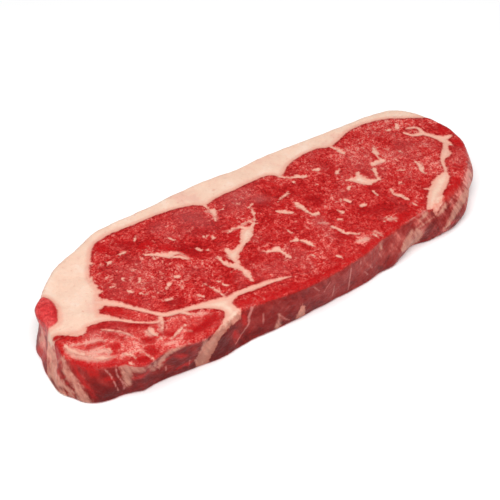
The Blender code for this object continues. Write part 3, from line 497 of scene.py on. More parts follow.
def ring_depth(places: np.ndarray, ring: np.ndarray) -> np.ndarray:
    """Measures how far inside a closed ring each place lies, below 0 outside it.

    Args:
        places: Flat places, one row each.
        ring: The ring's points.

    Returns:
        The depth of each place, cut off at FAR either way.
    """
    x, y = places.T
    inside = np.zeros(len(places), bool)
    for (start_x, start_y), (end_x, end_y) in zip(ring, np.roll(ring, -1, axis=0)):
        if start_y != end_y:
            crosses = (start_y > y) != (end_y > y)
            inside ^= crosses & (x < start_x + (y - start_y) * (end_x - start_x) / (end_y - start_y))
    closed = np.vstack([ring, ring[:1]])
    away = -stroke_depth(places, np.column_stack([closed, np.zeros(len(closed))]))
    return np.where(inside, away, -away)


def soft_spots(places: np.ndarray, spots: Points) -> np.ndarray:
    """Adds up soft round spots.

    Args:
        places: Flat places, one row each.
        spots: (x, y, reach, strength) of each spot.

    Returns:
        The sum at each place.
    """
    total = np.zeros(len(places))
    for x, y, reach, strength in spots:
        total += strength * np.exp(-(((places[:, 0] - x) ** 2 + (places[:, 1] - y) ** 2) / reach**2))
    return total


def ramp(values: np.ndarray, low: float, high: float) -> np.ndarray:
    """Rises smoothly from 0 at low to 1 at high."""
    share = np.clip((values - low) / (high - low), 0.0, 1.0)
    return share * share * (3 - 2 * share)


def read_points(obj: bpy.types.Object) -> np.ndarray:
    """Reads where an object's points are.

    Args:
        obj: The object.

    Returns:
        Its points in millimetres, one row each.
    """
    flat = np.empty(len(obj.data.vertices) * 3, np.float32)
    obj.data.vertices.foreach_get("co", flat)
    return flat.reshape(-1, 3).astype(float) / MM


def write_points(obj: bpy.types.Object, points: np.ndarray) -> None:
    """Moves the object's points to places in millimetres."""
    obj.data.vertices.foreach_set("co", (points * MM).astype(np.float32).ravel())
    obj.data.update()


def only(obj: bpy.types.Object) -> None:
    """Selects one object and nothing else, and makes it the active one.

    Args:
        obj: The object.
    """
    bpy.ops.object.select_all(action="DESELECT")
    obj.select_set(True)
    bpy.context.view_layer.objects.active = obj


def prism(name: str, foot: np.ndarray, top: np.ndarray, low: float, high: float) -> bpy.types.Object:
    """Models a closed prism: a circle drawn out to a ring, extruded upwards, and its upper end drawn out too.

    Args:
        name: The object's name.
        foot: The lower ring, in millimetres.
        top: The upper ring, with as many points.
        low: Height of the lower ring.
        high: Height of the upper ring.

    Returns:
        The prism.
    """
    bpy.ops.object.select_all(action="DESELECT")
    bpy.ops.mesh.primitive_circle_add(vertices=len(foot), radius=0.1, fill_type="NGON", location=(0, 0, 0))
    obj = bpy.context.object
    obj.name = name
    obj.data.name = name
    write_points(obj, np.column_stack([foot, np.full(len(foot), low)]))
    bpy.ops.object.mode_set(mode="EDIT")
    bpy.ops.mesh.select_all(action="SELECT")
    bpy.ops.mesh.extrude_region_move(TRANSFORM_OT_translate={"value": (0, 0, (high - low) * MM)})
    bpy.ops.object.mode_set(mode="OBJECT")
    points = read_points(obj)
    tree = KDTree(len(foot))
    for index, (x, y) in enumerate(foot):
        tree.insert(Vector((x, y, 0)), index)
    tree.balance()
    for at in np.flatnonzero(points[:, 2] > (low + high) / 2):
        points[at, :2] = top[tree.find(Vector((*points[at, :2], 0)))[1]]
    write_points(obj, points)
    bpy.ops.object.mode_set(mode="EDIT")
    bpy.ops.mesh.select_all(action="SELECT")
    bpy.ops.mesh.normals_make_consistent(inside=False)
    bpy.ops.object.mode_set(mode="OBJECT")
    return obj


class Rim:
    """The slice's outline: its points, the way out at each, the run round it and the wall's offsets."""

    ease = 3  # points of the running mean that rounds the offsets off

    def __init__(self, outline: Points, wall: Points) -> None:
        """Reads the outline and the wall's stations.

        Args:
            outline: The outline's corners, which a smooth curve joins.
            wall: (x, y, offset at the foot, offset at half height) of each station.
        """
        self.ring = smooth_line(outline, closed=True)
        along = np.roll(self.ring, -1, axis=0) - np.roll(self.ring, 1, axis=0)
        outward = np.stack([along[:, 1], -along[:, 0]], axis=1)
        self.outward = outward / np.linalg.norm(outward, axis=1, keepdims=True)
        steps = np.linalg.norm(np.roll(self.ring, -1, axis=0) - self.ring, axis=1)
        self.run = np.concatenate([[0.0], np.cumsum(steps)[:-1]])
        self.length = float(steps.sum())
        self.tree = KDTree(len(self.ring))
        for index, (x, y) in enumerate(self.ring):
            self.tree.insert(Vector((x, y, 0.0)), index)
        self.tree.balance()
        stations = sorted((self.run_at(x, y), foot, belly) for x, y, foot, belly in wall)
        runs, feet, bellies = np.array(stations).T
        self.foot = self.eased(np.interp(self.run, runs, feet, period=self.length))
        self.belly = self.eased(np.interp(self.run, runs, bellies, period=self.length))

    def eased(self, values: np.ndarray) -> np.ndarray:
        """Rounds the corners of the values off, by a running mean round the ring."""
        shifts = range(-self.ease, self.ease + 1)
        return sum(np.roll(values, shift) for shift in shifts) / len(shifts)

    def between(self, run: np.ndarray, values: np.ndarray) -> np.ndarray:
        """Reads values that are given at the outline's points at any run round it."""
        return np.interp(run, self.run, values, period=self.length)

    def run_at(self, x: float, y: float) -> float:
        """Returns the run of the outline's point nearest to a place."""
        return float(self.run[self.tree.find(Vector((x, y, 0.0)))[1]])

    def around(self, points: np.ndarray) -> tuple[np.ndarray, np.ndarray]:
        """Finds where each point lies beside the outline.

        Args:
            points: Places in millimetres, one row each.

        Returns:
            For each point the index of the nearest outline point, and its depth inside the outline.
        """
        index = np.array([self.tree.find(Vector((x, y, 0.0)))[1] for x, y in points[:, :2]])
        offset = ((points[:, :2] - self.ring[index]) * self.outward[index]).sum(axis=1)
        return index, -offset

    def smooth_run(self, points: np.ndarray, index: np.ndarray) -> np.ndarray:
        """Reads each point's run round the outline, between the outline's points.

        Args:
            points: Places in millimetres, one row each.
            index: The nearest outline point of each.

        Returns:
            The run of each point.
        """
        outward = self.outward[index]
        along = np.stack([-outward[:, 1], outward[:, 0]], axis=1)
        return self.run[index] + ((points[:, :2] - self.ring[index]) * along).sum(axis=1)


@dataclass
class Zone:
    """A region that runs through the slice, from a ring on its lower face to one on its upper face."""

    border_top: Points
    outside_top: Points
    border_foot: Points
    outside_foot: Points
    thickness: float
    reach: float = 8.0  # how far the cutter stands past both faces

    def __post_init__(self) -> None:
        """Closes each smooth border by straight runs outside the slice."""
        self.top = np.vstack([smooth_line(self.border_top, closed=False), self.outside_top])
        self.foot = np.vstack([smooth_line(self.border_foot, closed=False), self.outside_foot])

    def cutter(self, name: str) -> bpy.types.Object:
        """Models the zone as a prism that stands past both faces."""
        slope = (self.top - self.foot) / self.thickness * self.reach
        return prism(name, self.foot - slope, self.top + slope, -self.reach, self.thickness + self.reach)

    def depth(self, points: np.ndarray) -> np.ndarray:
        """Measures how far inside the zone each point lies.

        Args:
            points: Places in millimetres, one row each.

        Returns:
            The depth of each point, below 0 outside the zone.
        """
        up = np.clip(points[:, 2] / self.thickness, 0.0, 1.0)
        top = ring_depth(points[:, :2], self.top)
        foot = ring_depth(points[:, :2], self.foot)
        return top * up + foot * (1 - up)


class Channel(Enum):
    """The distances and shares that the materials read from the points of the mesh."""

    FAT = "fat_mm"
    PALE = "pale_mm"
    VIVID = "vivid_mm"
    DEEP = "deep_mm"
    WALL = "wall"
    TONE = "tone"
    DULL = "dull"
    SEAM = "seam_mm"
    FLECKED = "flecked"
    THREAD = "thread_mm"


@dataclass
class Anatomy:
    """Where the tissues of the slice lie: works out each channel at any points. Sizes are in millimetres."""

    rim: Rim
    cap: Zone
    corner: Zone
    thickness: float
    under_shift: float = 1.6  # how far the marbling of the lower face wanders off that of the upper one
    foot_band: tuple[float, float] = (0.3, 1.5)  # heights at which the lower face gives way to the wall
    side_band: tuple[float, float] = (18.2, 21.0)  # heights at which the marks of the face begin
    face_above: float = 20.4  # past this height, marks of the wall run on over the upper face
    sole_below: float = 0.8  # under this height, they run on over the lower face
    wall_top: float = 23.4  # height at which the look of the wall has gone
    wall_fade: tuple[float, float] = (0.2, 5.0)
    foot_painted_shade: float = 0.9  # painted shade: how much deeper the tone of the wall is towards its foot
    painted_shade_band: tuple[float, float] = (1.0, 12.0)

    def plan(self, points: np.ndarray) -> np.ndarray:
        """Reads plan places, with those of the lower face shifted so that its marbling differs.

        Args:
            points: Places in millimetres, one row each.

        Returns:
            Two coordinates for each point.
        """
        x, y = points[:, 0], points[:, 1]
        low = self.under_shift * (points[:, 2] < self.thickness / 2)
        # Two waves each way, 9 to 15 mm long for each radian, so that no vein keeps its course
        shifted_x = x + low * (1.5 * np.sin(y / 9 + 1) + np.sin(x / 13))
        shifted_y = y + low * (1.5 * np.sin(x / 11) + np.sin(y / 15 + 2))
        return np.stack([shifted_x, shifted_y], axis=1)

    @staticmethod
    def deepest(places: np.ndarray, strokes: tuple[Points, ...]) -> np.ndarray:
        """Measures the depth inside the nearest of several strokes, curved through their points.

        Args:
            places: Flat places, one row each.
            strokes: Rows of two coordinates and a width, for each stroke.

        Returns:
            The depth of each place, below 0 outside the strokes.
        """
        depth = np.full(len(places), -FAR)
        for stroke in strokes:
            depth = np.maximum(depth, stroke_depth(places, smooth_line(stroke, closed=False, steps=3)))
        return depth

    def on_wall(self, run: np.ndarray, rise: np.ndarray, marks: tuple[Points, ...]) -> np.ndarray:
        """Measures the depth inside marks of the side walls, in the wall's own run and height.

        Args:
            run: How far round the outline each place lies.
            rise: Its height up the wall, which runs on over the edges onto the cut faces.
            marks: Rows of (x, y, z, width), for each mark.

        Returns:
            The depth of each place, below 0 outside the marks.
        """
        depth = np.full(len(run), -FAR)
        half = self.rim.length / 2
        for mark in marks:
            start = self.rim.run_at(*mark[0][:2])
            stroke = tuple(((self.rim.run_at(x, y) - start + half) % self.rim.length - half, z, width)
                           for x, y, z, width in mark)
            unrolled = (run - start + half) % self.rim.length - half
            depth = np.maximum(depth, self.deepest(np.stack([unrolled, rise], axis=1), (stroke,)))
        return depth

    def channels(self, points: np.ndarray) -> dict[Channel, np.ndarray]:
        """Works out all channels.

        Args:
            points: Places in millimetres, one row each.

        Returns:
            For each channel its value at each place.
        """
        height = points[:, 2]
        places = self.plan(points)
        index, depth = self.rim.around(points)
        run, inset = self.rim.smooth_run(points, index), np.maximum(depth, 0.0)
        above_foot = ramp(height, *self.foot_band)
        off_face = 2 * FAR * (1 - ramp(height, *self.side_band)) * above_foot
        rise = height + inset * (height > self.face_above)
        rise = np.where(height < self.sole_below, -inset, rise)
        wall = ramp(self.wall_top - rise + soft_spots(places, CREEPS), *self.wall_fade) * above_foot

        seams = self.deepest(places, SEAMS) - off_face
        veins = self.deepest(places, VEINS) - off_face
        islands = self.deepest(places, ISLANDS) - off_face
        cap = self.cap.depth(points)
        fat = np.maximum.reduce([cap, seams, veins, self.on_wall(run, rise, FAT_WALL)])
        found = {Channel.FAT: np.minimum.reduce([fat, -islands, -self.corner.depth(points)])}
        for channel, on_face, on_side in ((Channel.PALE, PALE_TOP, PALE_WALL),
                                          (Channel.VIVID, VIVID_TOP, VIVID_WALL),
                                          (Channel.DEEP, DEEP_TOP, DEEP_WALL)):
            found[channel] = np.maximum(self.deepest(places, on_face) - off_face,
                                        self.on_wall(run, rise, on_side))
        found[Channel.SEAM] = np.maximum(cap, seams)
        found[Channel.THREAD] = self.on_wall(run, rise, THREADS)
        found = {channel: np.clip(values, -FAR, FAR) for channel, values in found.items()}
        # The walls' own tones, less a painted shade that deepens them towards the foot
        wall_tone_and_foot_shade = soft_spots(places, WALL_TONES) - self.foot_painted_shade * (1 - ramp(height, *self.painted_shade_band))
        found[Channel.WALL] = wall
        found[Channel.TONE] = soft_spots(places, TONES) * (1 - wall) + wall_tone_and_foot_shade * wall
        found[Channel.DULL] = soft_spots(places, DULLS) * (1 - wall)
        found[Channel.FLECKED] = soft_spots(places, FLECKED)
        return found


@dataclass
class SteakSlice:
    """The whole slice, from its flat blank to its shaped walls, edges and faces. Sizes are in millimetres."""

    rim: Rim
    thickness: float = 22.0
    remesh_depth: int = 9
    remesh_scale: float = 0.7
    edge_round: float = 1.6
    wall_depth: float = 9.0  # how deep under the wall the points move with it
    flare: float = 1.3  # how sharply the wall turns out towards its foot
    # Upright ribs of the walls: (height, wave, sway, wave of the sway, twist up the wall, start)
    ribs: Points = ((0.25, 3.1, 2.5, 23, 2.0, 0.0), (0.35, 7.3, 0.0, 23, -1.5, 1.0))
    face_waves: tuple[float, float] = (5.3, 4.7)  # along and across the slice
    face_wave_height: float = 0.18
    top_band: tuple[float, float] = (19.0, 21.0)  # heights at which the upper face begins
    sink: float = 0.45  # how far the fat lies below the meat
    sink_band: tuple[float, float] = (-0.4, 1.2)  # depths inside the fat over which it sinks
    meat_band: tuple[float, float] = (-0.5, 0.5)  # and over which the bundles of the meat end
    side_bundles: float = 0.4  # share of the bundles' height that shows off the upper face
    sole_top: float = 0.5  # height below which the slice lies flat on its lower face
    sole_lumps: float = 0.15  # share of the lumps that shows there
    lump_size: float = 6.0
    lump_height: float = 0.55
    bundle_size: float = 2.3
    bundle_height: float = 0.3

    def model(self, anatomy: Anatomy) -> bpy.types.Object:
        """Models the slice.

        Args:
            anatomy: Where its tissues lie.

        Returns:
            The slice's object.
        """
        ring = self.rim.ring
        obj = prism("slice", ring, ring, 0.0, self.thickness)
        self.finished(obj, "REMESH", "even faces", mode="SHARP", octree_depth=self.remesh_depth,
                      scale=self.remesh_scale)
        points = read_points(obj)
        points[:, 2] = np.clip(points[:, 2], 0.0, self.thickness)
        index, depth = self.rim.around(points)
        depth = np.maximum(depth, 0.0)
        self.round_edges(points, index, depth)
        self.shape_walls(points, index, depth)
        self.shape_face(points)
        fat = anatomy.channels(points)[Channel.FAT]
        top = ramp(points[:, 2], *self.top_band)
        points[:, 2] -= self.sink * ramp(fat, *self.sink_band) * top
        write_points(obj, points)
        bundled = self.side_bundles + (1 - self.side_bundles) * top
        self.weigh(obj, "meat", (1 - ramp(fat, *self.meat_band)) * bundled)
        self.weigh(obj, "all", np.where(points[:, 2] < self.sole_top, self.sole_lumps, 1.0))
        self.ruffle(obj, "lumps", "CLOUDS", self.lump_size, self.lump_height, "all")
        self.ruffle(obj, "bundles", "VORONOI", self.bundle_size, self.bundle_height, "meat")
        points = read_points(obj)
        points[:, 2] = np.maximum(points[:, 2], 0.0)
        write_points(obj, points)
        return obj

    @staticmethod
    def finished(obj: bpy.types.Object, kind: str, name: str, **settings: Any) -> None:
        """Adds a modifier and applies it.

        Args:
            obj: The object.
            kind: The modifier's type.
            name: Its name.
            settings: Its own properties.
        """
        modifier = obj.modifiers.new(name, kind)
        for key, value in settings.items():
            setattr(modifier, key, value)
        only(obj)
        bpy.ops.object.modifier_apply(modifier=modifier.name)

    @staticmethod
    def weigh(obj: bpy.types.Object, name: str, weights: np.ndarray, levels: int = 16) -> None:
        """Gives the object a vertex group.

        Args:
            obj: The object.
            name: The group's name.
            weights: A weight for each point.
            levels: How many even steps the weights are rounded to.
        """
        group = obj.vertex_groups.new(name=name)
        stepped = np.round(weights * levels).astype(int)
        for level in range(1, levels + 1):
            group.add(np.flatnonzero(stepped == level).tolist(), level / levels, "REPLACE")

    def ruffle(self, obj: bpy.types.Object, name: str, kind: str, size: float, height: float,
               group: str) -> None:
        """Displaces the surface by a texture.

        Args:
            obj: The object.
            name: The name of the texture and of its modifier.
            kind: The texture's type.
            size: The size of its pattern.
            height: How far apart its highest and lowest places lie.
            group: The vertex group that limits it.
        """
        texture = bpy.data.textures.new(name, kind)
        texture.noise_scale = size * MM
        self.finished(obj, "DISPLACE", name, texture=texture, texture_coords="LOCAL", vertex_group=group,
                      strength=height * MM, mid_level=0.5)

    def round_edges(self, points: np.ndarray, index: np.ndarray, depth: np.ndarray) -> None:
        """Rounds the upper and the lower edge to quarter circles.

        Args:
            points: The points, which are moved.
            index: The nearest outline point of each.
            depth: Its depth inside the outline.
        """
        radius = self.edge_round
        for height in (points[:, 2] - (self.thickness - radius), radius - points[:, 2]):
            inward = np.clip(radius - depth, 0.0, radius)
            height = np.clip(height, 0.0, radius)
            far = np.hypot(inward, height)
            keep = np.where(far > 0, np.maximum(inward, height) / np.maximum(far, TINY), 1.0)
            points[:, :2] -= self.rim.outward[index] * (inward * (1 - keep))[:, None]
            down = height * (1 - keep)
            points[:, 2] += np.where(points[:, 2] > self.thickness / 2, -down, down)

    def shape_walls(self, points: np.ndarray, index: np.ndarray, depth: np.ndarray) -> None:
        """Moves the side walls: flare or undercut at the foot, a belly, upright ribs, lumps and hollows.

        Args:
            points: The points, which are moved.
            index: The nearest outline point of each.
            depth: Its depth inside the outline.
        """
        up = np.clip(points[:, 2] / self.thickness, 0.0, 1.0)
        belly = 4 * up * (1 - up)
        run = self.rim.smooth_run(points, index)
        push = self.rim.between(run, self.rim.foot) * (1 - up) ** self.flare
        push += self.rim.between(run, self.rim.belly) * belly
        for height, wave, sway, sway_wave, twist, start in self.ribs:
            turn = run / wave + sway * np.sin(run / sway_wave) + up * twist + start
            push += height * np.sin(turn) * np.sqrt(belly)
        for x, y, z, reach, amount in WALL_LUMPS:
            away = np.linalg.norm(points - (x, y, z), axis=1)
            push += amount * np.exp(-((away / reach) ** 2))
        push *= np.exp(-((depth / self.wall_depth) ** 2))
        outward = np.stack([self.rim.between(run, way) for way in self.rim.outward.T], axis=1)
        points[:, :2] += outward * push[:, None]

    def shape_face(self, points: np.ndarray) -> None:
        """Shapes the upper face: low swells and a soft waviness.

        Args:
            points: The points, which are moved.
        """
        x, y = (points[:, :2] / self.face_waves).T
        # Each wave is turned a little by the other, so that no grid shows
        waves = np.sin(x + 0.6 * np.sin(0.7 * y)) * np.sin(y + 0.3 * x)
        lift = soft_spots(points[:, :2], SWELLS) + self.face_wave_height * waves
        points[:, 2] += lift * np.clip(points[:, 2] / self.thickness * 2 - 1, 0.0, 1.0)


@dataclass(frozen=True)
class LeanFinish:
    """Raw beef lean cut across the grain: wet muscle fibre. Its bundles are 2 to 2.5 mm across, each with a
    thin pale skin, so the eye sees a fine pink grain over deep red. Its small moist glints are painted
    highlights, the palest stop of its reds, and the darkest stop is painted shade in the crevices."""

    name: str = "raw_beef_lean"
    # Stops of the pale value: the darkest, at 0.12, is painted shade in the crevices between bundles, and the
    # palest, at 0.93, is a painted highlight for the moist glints
    reds: tuple[tuple[float, str], ...] = (
        (0.12, "8b0506"), (0.30, "aa0a0b"), (0.46, "bd1e1d"), (0.58, "c93733"), (0.70, "d34d46"),
        (0.80, "df655c"), (0.93, "ea9285"),
    )
    vivid: str = "b8060b"
    # Painted shadow: the thin dark line along the lean side of each seam
    deep: str = "8c0a0c"
    crimson: str = "a5060c"
    dull: str = "ab5f5d"
    dusk: str = "ac4744"
    pale: str = "e0a795"
    grain: float = 1.0  # how strongly the grain shows
    roughness: float = 0.38  # moist muscle
    coat: float = 0.15  # the film of juice
    bundle: float = 2.3  # mm
    fibre: float = 0.3875  # mm, drawn coarser than real fibre, which is too fine to show
    flecked: float = 1.0  # how readily flecks of fat show


@dataclass(frozen=True)
class FatFinish:
    """Beef fat, cut and waxy: cream white, pinker where it is thin and meat shines through, nearly smooth."""

    creams: tuple[tuple[float, str], ...] = (
        (0.34, "ddb09e"), (0.46, "e0bca7"), (0.56, "e2c0ab"), (0.68, "e4c9b8"),
    )
    vein: str = "dba18e"
    fringe: str = "ca6c60"
    # Tones of the fat on the side walls, partly its own tan and partly painted shade: the brown, dark stops
    # carry the shadow of the front walls, and the back of the cap, lifted by WALL_TONES, takes the creams
    wall: tuple[tuple[float, str], ...] = (
        (0.20, "9c4f3f"), (0.43, "bd6f5c"), (0.66, "e08a78"), (0.84, "eaac9a"), (1.0, "e8c8b6"),
    )
    roughness: float = 0.48  # waxy
    coat: float = 0.06
    patch: float = 6.0  # mm, soft patches
    lobule: float = 1.6  # mm, fine lobules


@dataclass(frozen=True)
class WallFinish:
    """The trimmed side of the muscle: silverskin and dried meat, mauve brown, with upright pale fibres."""

    mauves: tuple[tuple[float, str], ...] = (
        (0.22, "600706"), (0.40, "821512"), (0.52, "932824"), (0.64, "a53d37"), (0.80, "cf6a60"),
        (0.95, "e59285"),
    )
    pale: str = "d0907d"
    vivid: str = "b81816"
    deep: str = "5e0b0b"
    thread: str = "d98a80"
    roughness: float = 0.42
    coat: float = 0.02
    streak: float = 1.1  # mm between the upright fibres
    stretch: float = 7.0  # how much longer than wide their streaks are
    lean_over: float = -0.45  # radians, how far those fibres lean
    broad: float = 3.6  # mm, soft patches
    fan: tuple[float, float] = (60.0, 95.0)  # mm along the steak, over which the fibres come out


class Recipe:
    """A material while its nodes are being written."""

    def __init__(self, name: str) -> None:
        """Starts an empty node tree.

        Args:
            name: The material's name.
        """
        self.material = bpy.data.materials.new(name)
        self.material.use_nodes = True
        self.tree = self.material.node_tree
        self.tree.nodes.clear()

    def add(self, kind: str, inputs: dict[int | str, Any] | None = None, out: int | str | None = 0,
            **settings: Any) -> Any:
        """Adds a node with its settings and links.

        Args:
            kind: The node's type, after ShaderNode.
            inputs: By name or number, a value or the socket that feeds the input.
            out: The output wanted, or None for the node itself.
            settings: The node's own properties.

        Returns:
            The output socket, or the node.
        """
        node = self.tree.nodes.new("ShaderNode" + kind)
        for key, value in settings.items():
            setattr(node, key, value)
        for key, value in (inputs or {}).items():
            if isinstance(value, bpy.types.NodeSocket):
                self.tree.links.new(value, node.inputs[key])
            else:
                node.inputs[key].default_value = value
        return node if out is None else node.outputs[out]

    def shades(self, value: Any, stops: tuple[tuple[float, str], ...]) -> Any:
        """Colours a value by a ramp.

        Args:
            value: What is coloured.
            stops: The place and the hex code of each stop.

        Returns:
            The colour.
        """
        node = self.add("ValToRGB", {0: value}, out=None)
        elements = node.color_ramp.elements
        while len(elements) < len(stops):
            elements.new(1.0)
        for element, (place, code) in zip(elements, stops):
            element.position = place
            element.color = colour(code)
        return node.outputs[0]

    def noise(self, place: Any, size: float, detail: float = 3.0, rough: float = 0.55) -> Any:
        """Adds an even noise around 0 whose blotches are about size mm across."""
        settings = {"Vector": place, "Scale": 0.5 / size, "Detail": detail, "Roughness": rough}
        return self.add("Math", {0: self.add("TexNoise", settings), 1: 0.5}, operation="SUBTRACT")

    def painted(self, base: Any, *layers: tuple[Any, Any]) -> Any:
        """Lays colours over a base.

        Args:
            base: The colour below.
            layers: The mask and the colour of each layer, in order.

        Returns:
            The colour that shows.
        """
        for mask, shade in layers:
            base = self.add("Mix", {0: mask, 6: base, 7: shade}, out=2, data_type="RGBA")
        return base

    def blend(self, mask: Any, low: Any, high: Any) -> Any:
        """Mixes two values by a mask."""
        return self.add("Mix", {0: mask, 2: low, 3: high})

    def times(self, left: Any, right: Any) -> Any:
        """Multiplies two values."""
        return self.add("Math", {0: left, 1: right}, operation="MULTIPLY")

    def larger(self, left: Any, right: Any) -> Any:
        """Takes the larger of two values."""
        return self.add("Math", {0: left, 1: right}, operation="MAXIMUM")

    def total(self, *terms: tuple[Any, float], start: float = 0.0) -> Any:
        """Adds up terms.

        Args:
            terms: The value and the weight of each term.
            start: What they are added to.

        Returns:
            The sum.
        """
        value: Any = start
        for term, weight in terms:
            value = self.add("Math", {0: term, 1: weight, 2: value}, operation="MULTIPLY_ADD")
        return value

    def step(self, value: Any, low: float, high: float, start: float = 0.0, end: float = 1.0) -> Any:
        """Rises smoothly from start, where the value is low, to end, where it is high."""
        inputs = {0: value, 1: low, 2: high, 3: start, 4: end}
        return self.add("MapRange", inputs, interpolation_type="SMOOTHSTEP")


@dataclass(frozen=True)
class MeatFinish:
    """The whole finish of a piece: lean, fat and wall meet on every piece, at borders from the channels."""

    lean: LeanFinish
    fat: FatFinish = field(default_factory=FatFinish)
    wall: WallFinish = field(default_factory=WallFinish)
    ior: float = 1.38  # watery tissue
    film_ior: float = 1.34  # and the juice on it
    swirl: float = 3.0  # mm, how far the patterns are swirled about
    rag: float = 0.9  # mm, size of the raggedness of the borders
    crumb: float = 1.0  # mm, size of the crumbs of the meat
    curd: float = 1.5  # mm, size of the small flecks of fat
    blotch: float = 4.0  # mm, size of the gaps in the vivid marks
    scatter: float = 0.10  # how much of the light passes under the surface

    def material(self) -> bpy.types.Material:
        """Writes the material.

        Returns:
            The finished material.
        """
        r = Recipe(self.lean.name)
        given = {channel: r.add("Attribute", out="Fac", attribute_name=channel.value) for channel in Channel}
        place = r.add("VectorMath", {0: r.add("TexCoord", out="Object"), 3: 1 / MM}, operation="SCALE")
        swirl = r.add("TexNoise", {"Vector": place, "Scale": 0.35, "Detail": 2.0}, out="Color")
        swirl = r.add("VectorMath", {0: swirl, 1: (0.5,) * 3}, operation="SUBTRACT")
        wandered = r.add("VectorMath", {0: swirl, 1: (self.swirl,) * 3, 2: place}, operation="MULTIPLY_ADD")
        ragged = r.noise(place, self.rag, 4.0, 0.6)
        crumb = r.noise(wandered, self.crumb, 4.0, 0.62)
        fibre = r.noise(place, self.lean.fibre, 2.0, 0.6)
        bundles = r.add("TexVoronoi", {"Vector": wandered, "Scale": 1 / self.lean.bundle}, out="Color")
        lot = r.add("SeparateColor", {0: bundles})
        slanted = r.add("Mapping", {"Vector": place, "Rotation": (0.0, self.wall.lean_over, 0.0),
                                    "Scale": (1.0, 1.0, self.wall.stretch)}, vector_type="TEXTURE")
        streak = r.noise(slanted, self.wall.streak, 4.0, 0.65)

        wall = r.step(r.total((given[Channel.WALL], 1.0), (ragged, 1.8), (crumb, 1.0)), 0.1, 0.9)
        # The border of the fat is ragged, but only half as much along the seams
        ravel = r.total((ragged, 2.4), (crumb, 2.0), (lot, 0.8), start=-0.25)
        ravel = r.times(ravel, r.step(given[Channel.SEAM], -2.2, -1.0, 1.0, 0.5))
        border = r.total((given[Channel.FAT], 1.0), (ravel, 1.0))
        # Small flecks of fat stand where a fine noise is high, and none on the walls
        curd = r.noise(wandered, self.curd, 3.0, 0.55)
        fleck = r.total((curd, 8.0), (crumb, 3.5), (given[Channel.FLECKED], 0.9 * self.lean.flecked),
                        (wall, -9.0), start=-1.65)
        fat = r.larger(r.step(border, -0.35, 0.45), r.step(fleck, -0.5, 0.7, 0.0, 0.75))
        border = r.larger(border, r.times(fleck, 0.6))

        blotch = r.times(r.noise(place, self.blotch, 2.0), r.total((wall, -1.0), start=1.0))
        masks = self.masks(r, given, ragged, r.blend(wall, r.times(crumb, 0.6), streak), blotch)
        lean_shade, lean_height = self.lean_surface(r, given, wandered, crumb, fibre, lot, masks)
        wall_shade, wall_height = self.wall_surface(r, given, place, crumb, streak, masks)
        fat_shade, fat_height = self.fat_surface(r, place, border, wall, streak, given[Channel.TONE])
        # Bare meat on a wall hides the fat there, and a painted shadow, a thin deep line on the lean side,
        # runs along each seam
        bare = r.larger(masks[Channel.VIVID], masks[Channel.DEEP])
        fat = r.times(fat, r.total((r.times(bare, wall), -0.9), start=1.0))
        # Painted shadow along the lean side of the seams, broken up by the crumbs
        outline = r.times(r.step(r.total((given[Channel.SEAM], 1.0), (ragged, 3.0)), -1.7, -0.5, 0.0, 0.55),
                          r.step(crumb, -0.14, 0.10, 1.0, 0.35))
        shade = r.painted(lean_shade, (outline, colour(self.lean.deep)), (wall, wall_shade), (fat, fat_shade))
        height, rough, coat = (
            r.blend(fat, r.blend(wall, of_lean, of_wall), of_fat) for of_lean, of_wall, of_fat in (
                (lean_height, wall_height, fat_height),
                (self.lean.roughness, self.wall.roughness, self.fat.roughness),
                (self.lean.coat, self.wall.coat, self.fat.coat),
            )
        )
        shader = r.add("BsdfPrincipled", {
            "Base Color": shade, "Roughness": r.total((fibre, 0.3), (rough, 1.0)), "IOR": self.ior,
            "Normal": r.add("Bump", {"Strength": 1.0, "Distance": MM, "Height": height}),
            "Specular IOR Level": 0.16, "Coat Weight": coat, "Coat Roughness": 0.2, "Coat IOR": self.film_ior,
            "Subsurface Weight": self.scatter, "Subsurface Radius": (1.0, 0.35, 0.25),
            "Subsurface Scale": MM,
        }, subsurface_method="BURLEY")
        r.add("OutputMaterial", {"Surface": shader}, out=None)
        return r.material

    def masks(self, r: Recipe, given: dict[Channel, Any], ragged: Any, grain: Any,
              blotch: Any) -> dict[Channel, Any]:
        """Turns the distances of the vivid, pale and deep marks and of the threads into soft ragged masks.

        Args:
            r: The material's recipe.
            given: The channels.
            ragged: The raggedness of borders.
            grain: The grain that frays a mark.
            blotch: The gaps in the vivid marks.

        Returns:
            A mask for each kind of mark.
        """
        found = {}
        for channel, low, gaps in ((Channel.VIVID, -1.4, 7.0), (Channel.PALE, -1.2, 0.0),
                                   (Channel.DEEP, -1.0, 0.0)):
            depth = r.total((ragged, 2.2), (grain, 3.5), (blotch, gaps), (given[channel], 1.0))
            found[channel] = r.step(depth, low, 1.2)
        thread = r.total((given[Channel.THREAD], 1.0), (ragged, 1.2))
        found[Channel.THREAD] = r.step(thread, -0.35, 0.45)
        return found

    def lean_surface(self, r: Recipe, given: dict[Channel, Any], place: Any, crumb: Any, fibre: Any,
                     lot: Any, masks: dict[Channel, Any]) -> tuple[Any, Any]:
        """Writes the colour and height of the cut meat.

        Args:
            r: The material's recipe.
            given: The channels.
            place: The swirled place in millimetres.
            crumb: The crumbs of the meat.
            fibre: Its fibres.
            lot: An even random value for each bundle.
            masks: The masks of the marks.

        Returns:
            The colour and the height.
        """
        edge = r.add("TexVoronoi", {"Vector": place, "Scale": 1 / self.lean.bundle}, out="Distance",
                     feature="DISTANCE_TO_EDGE")
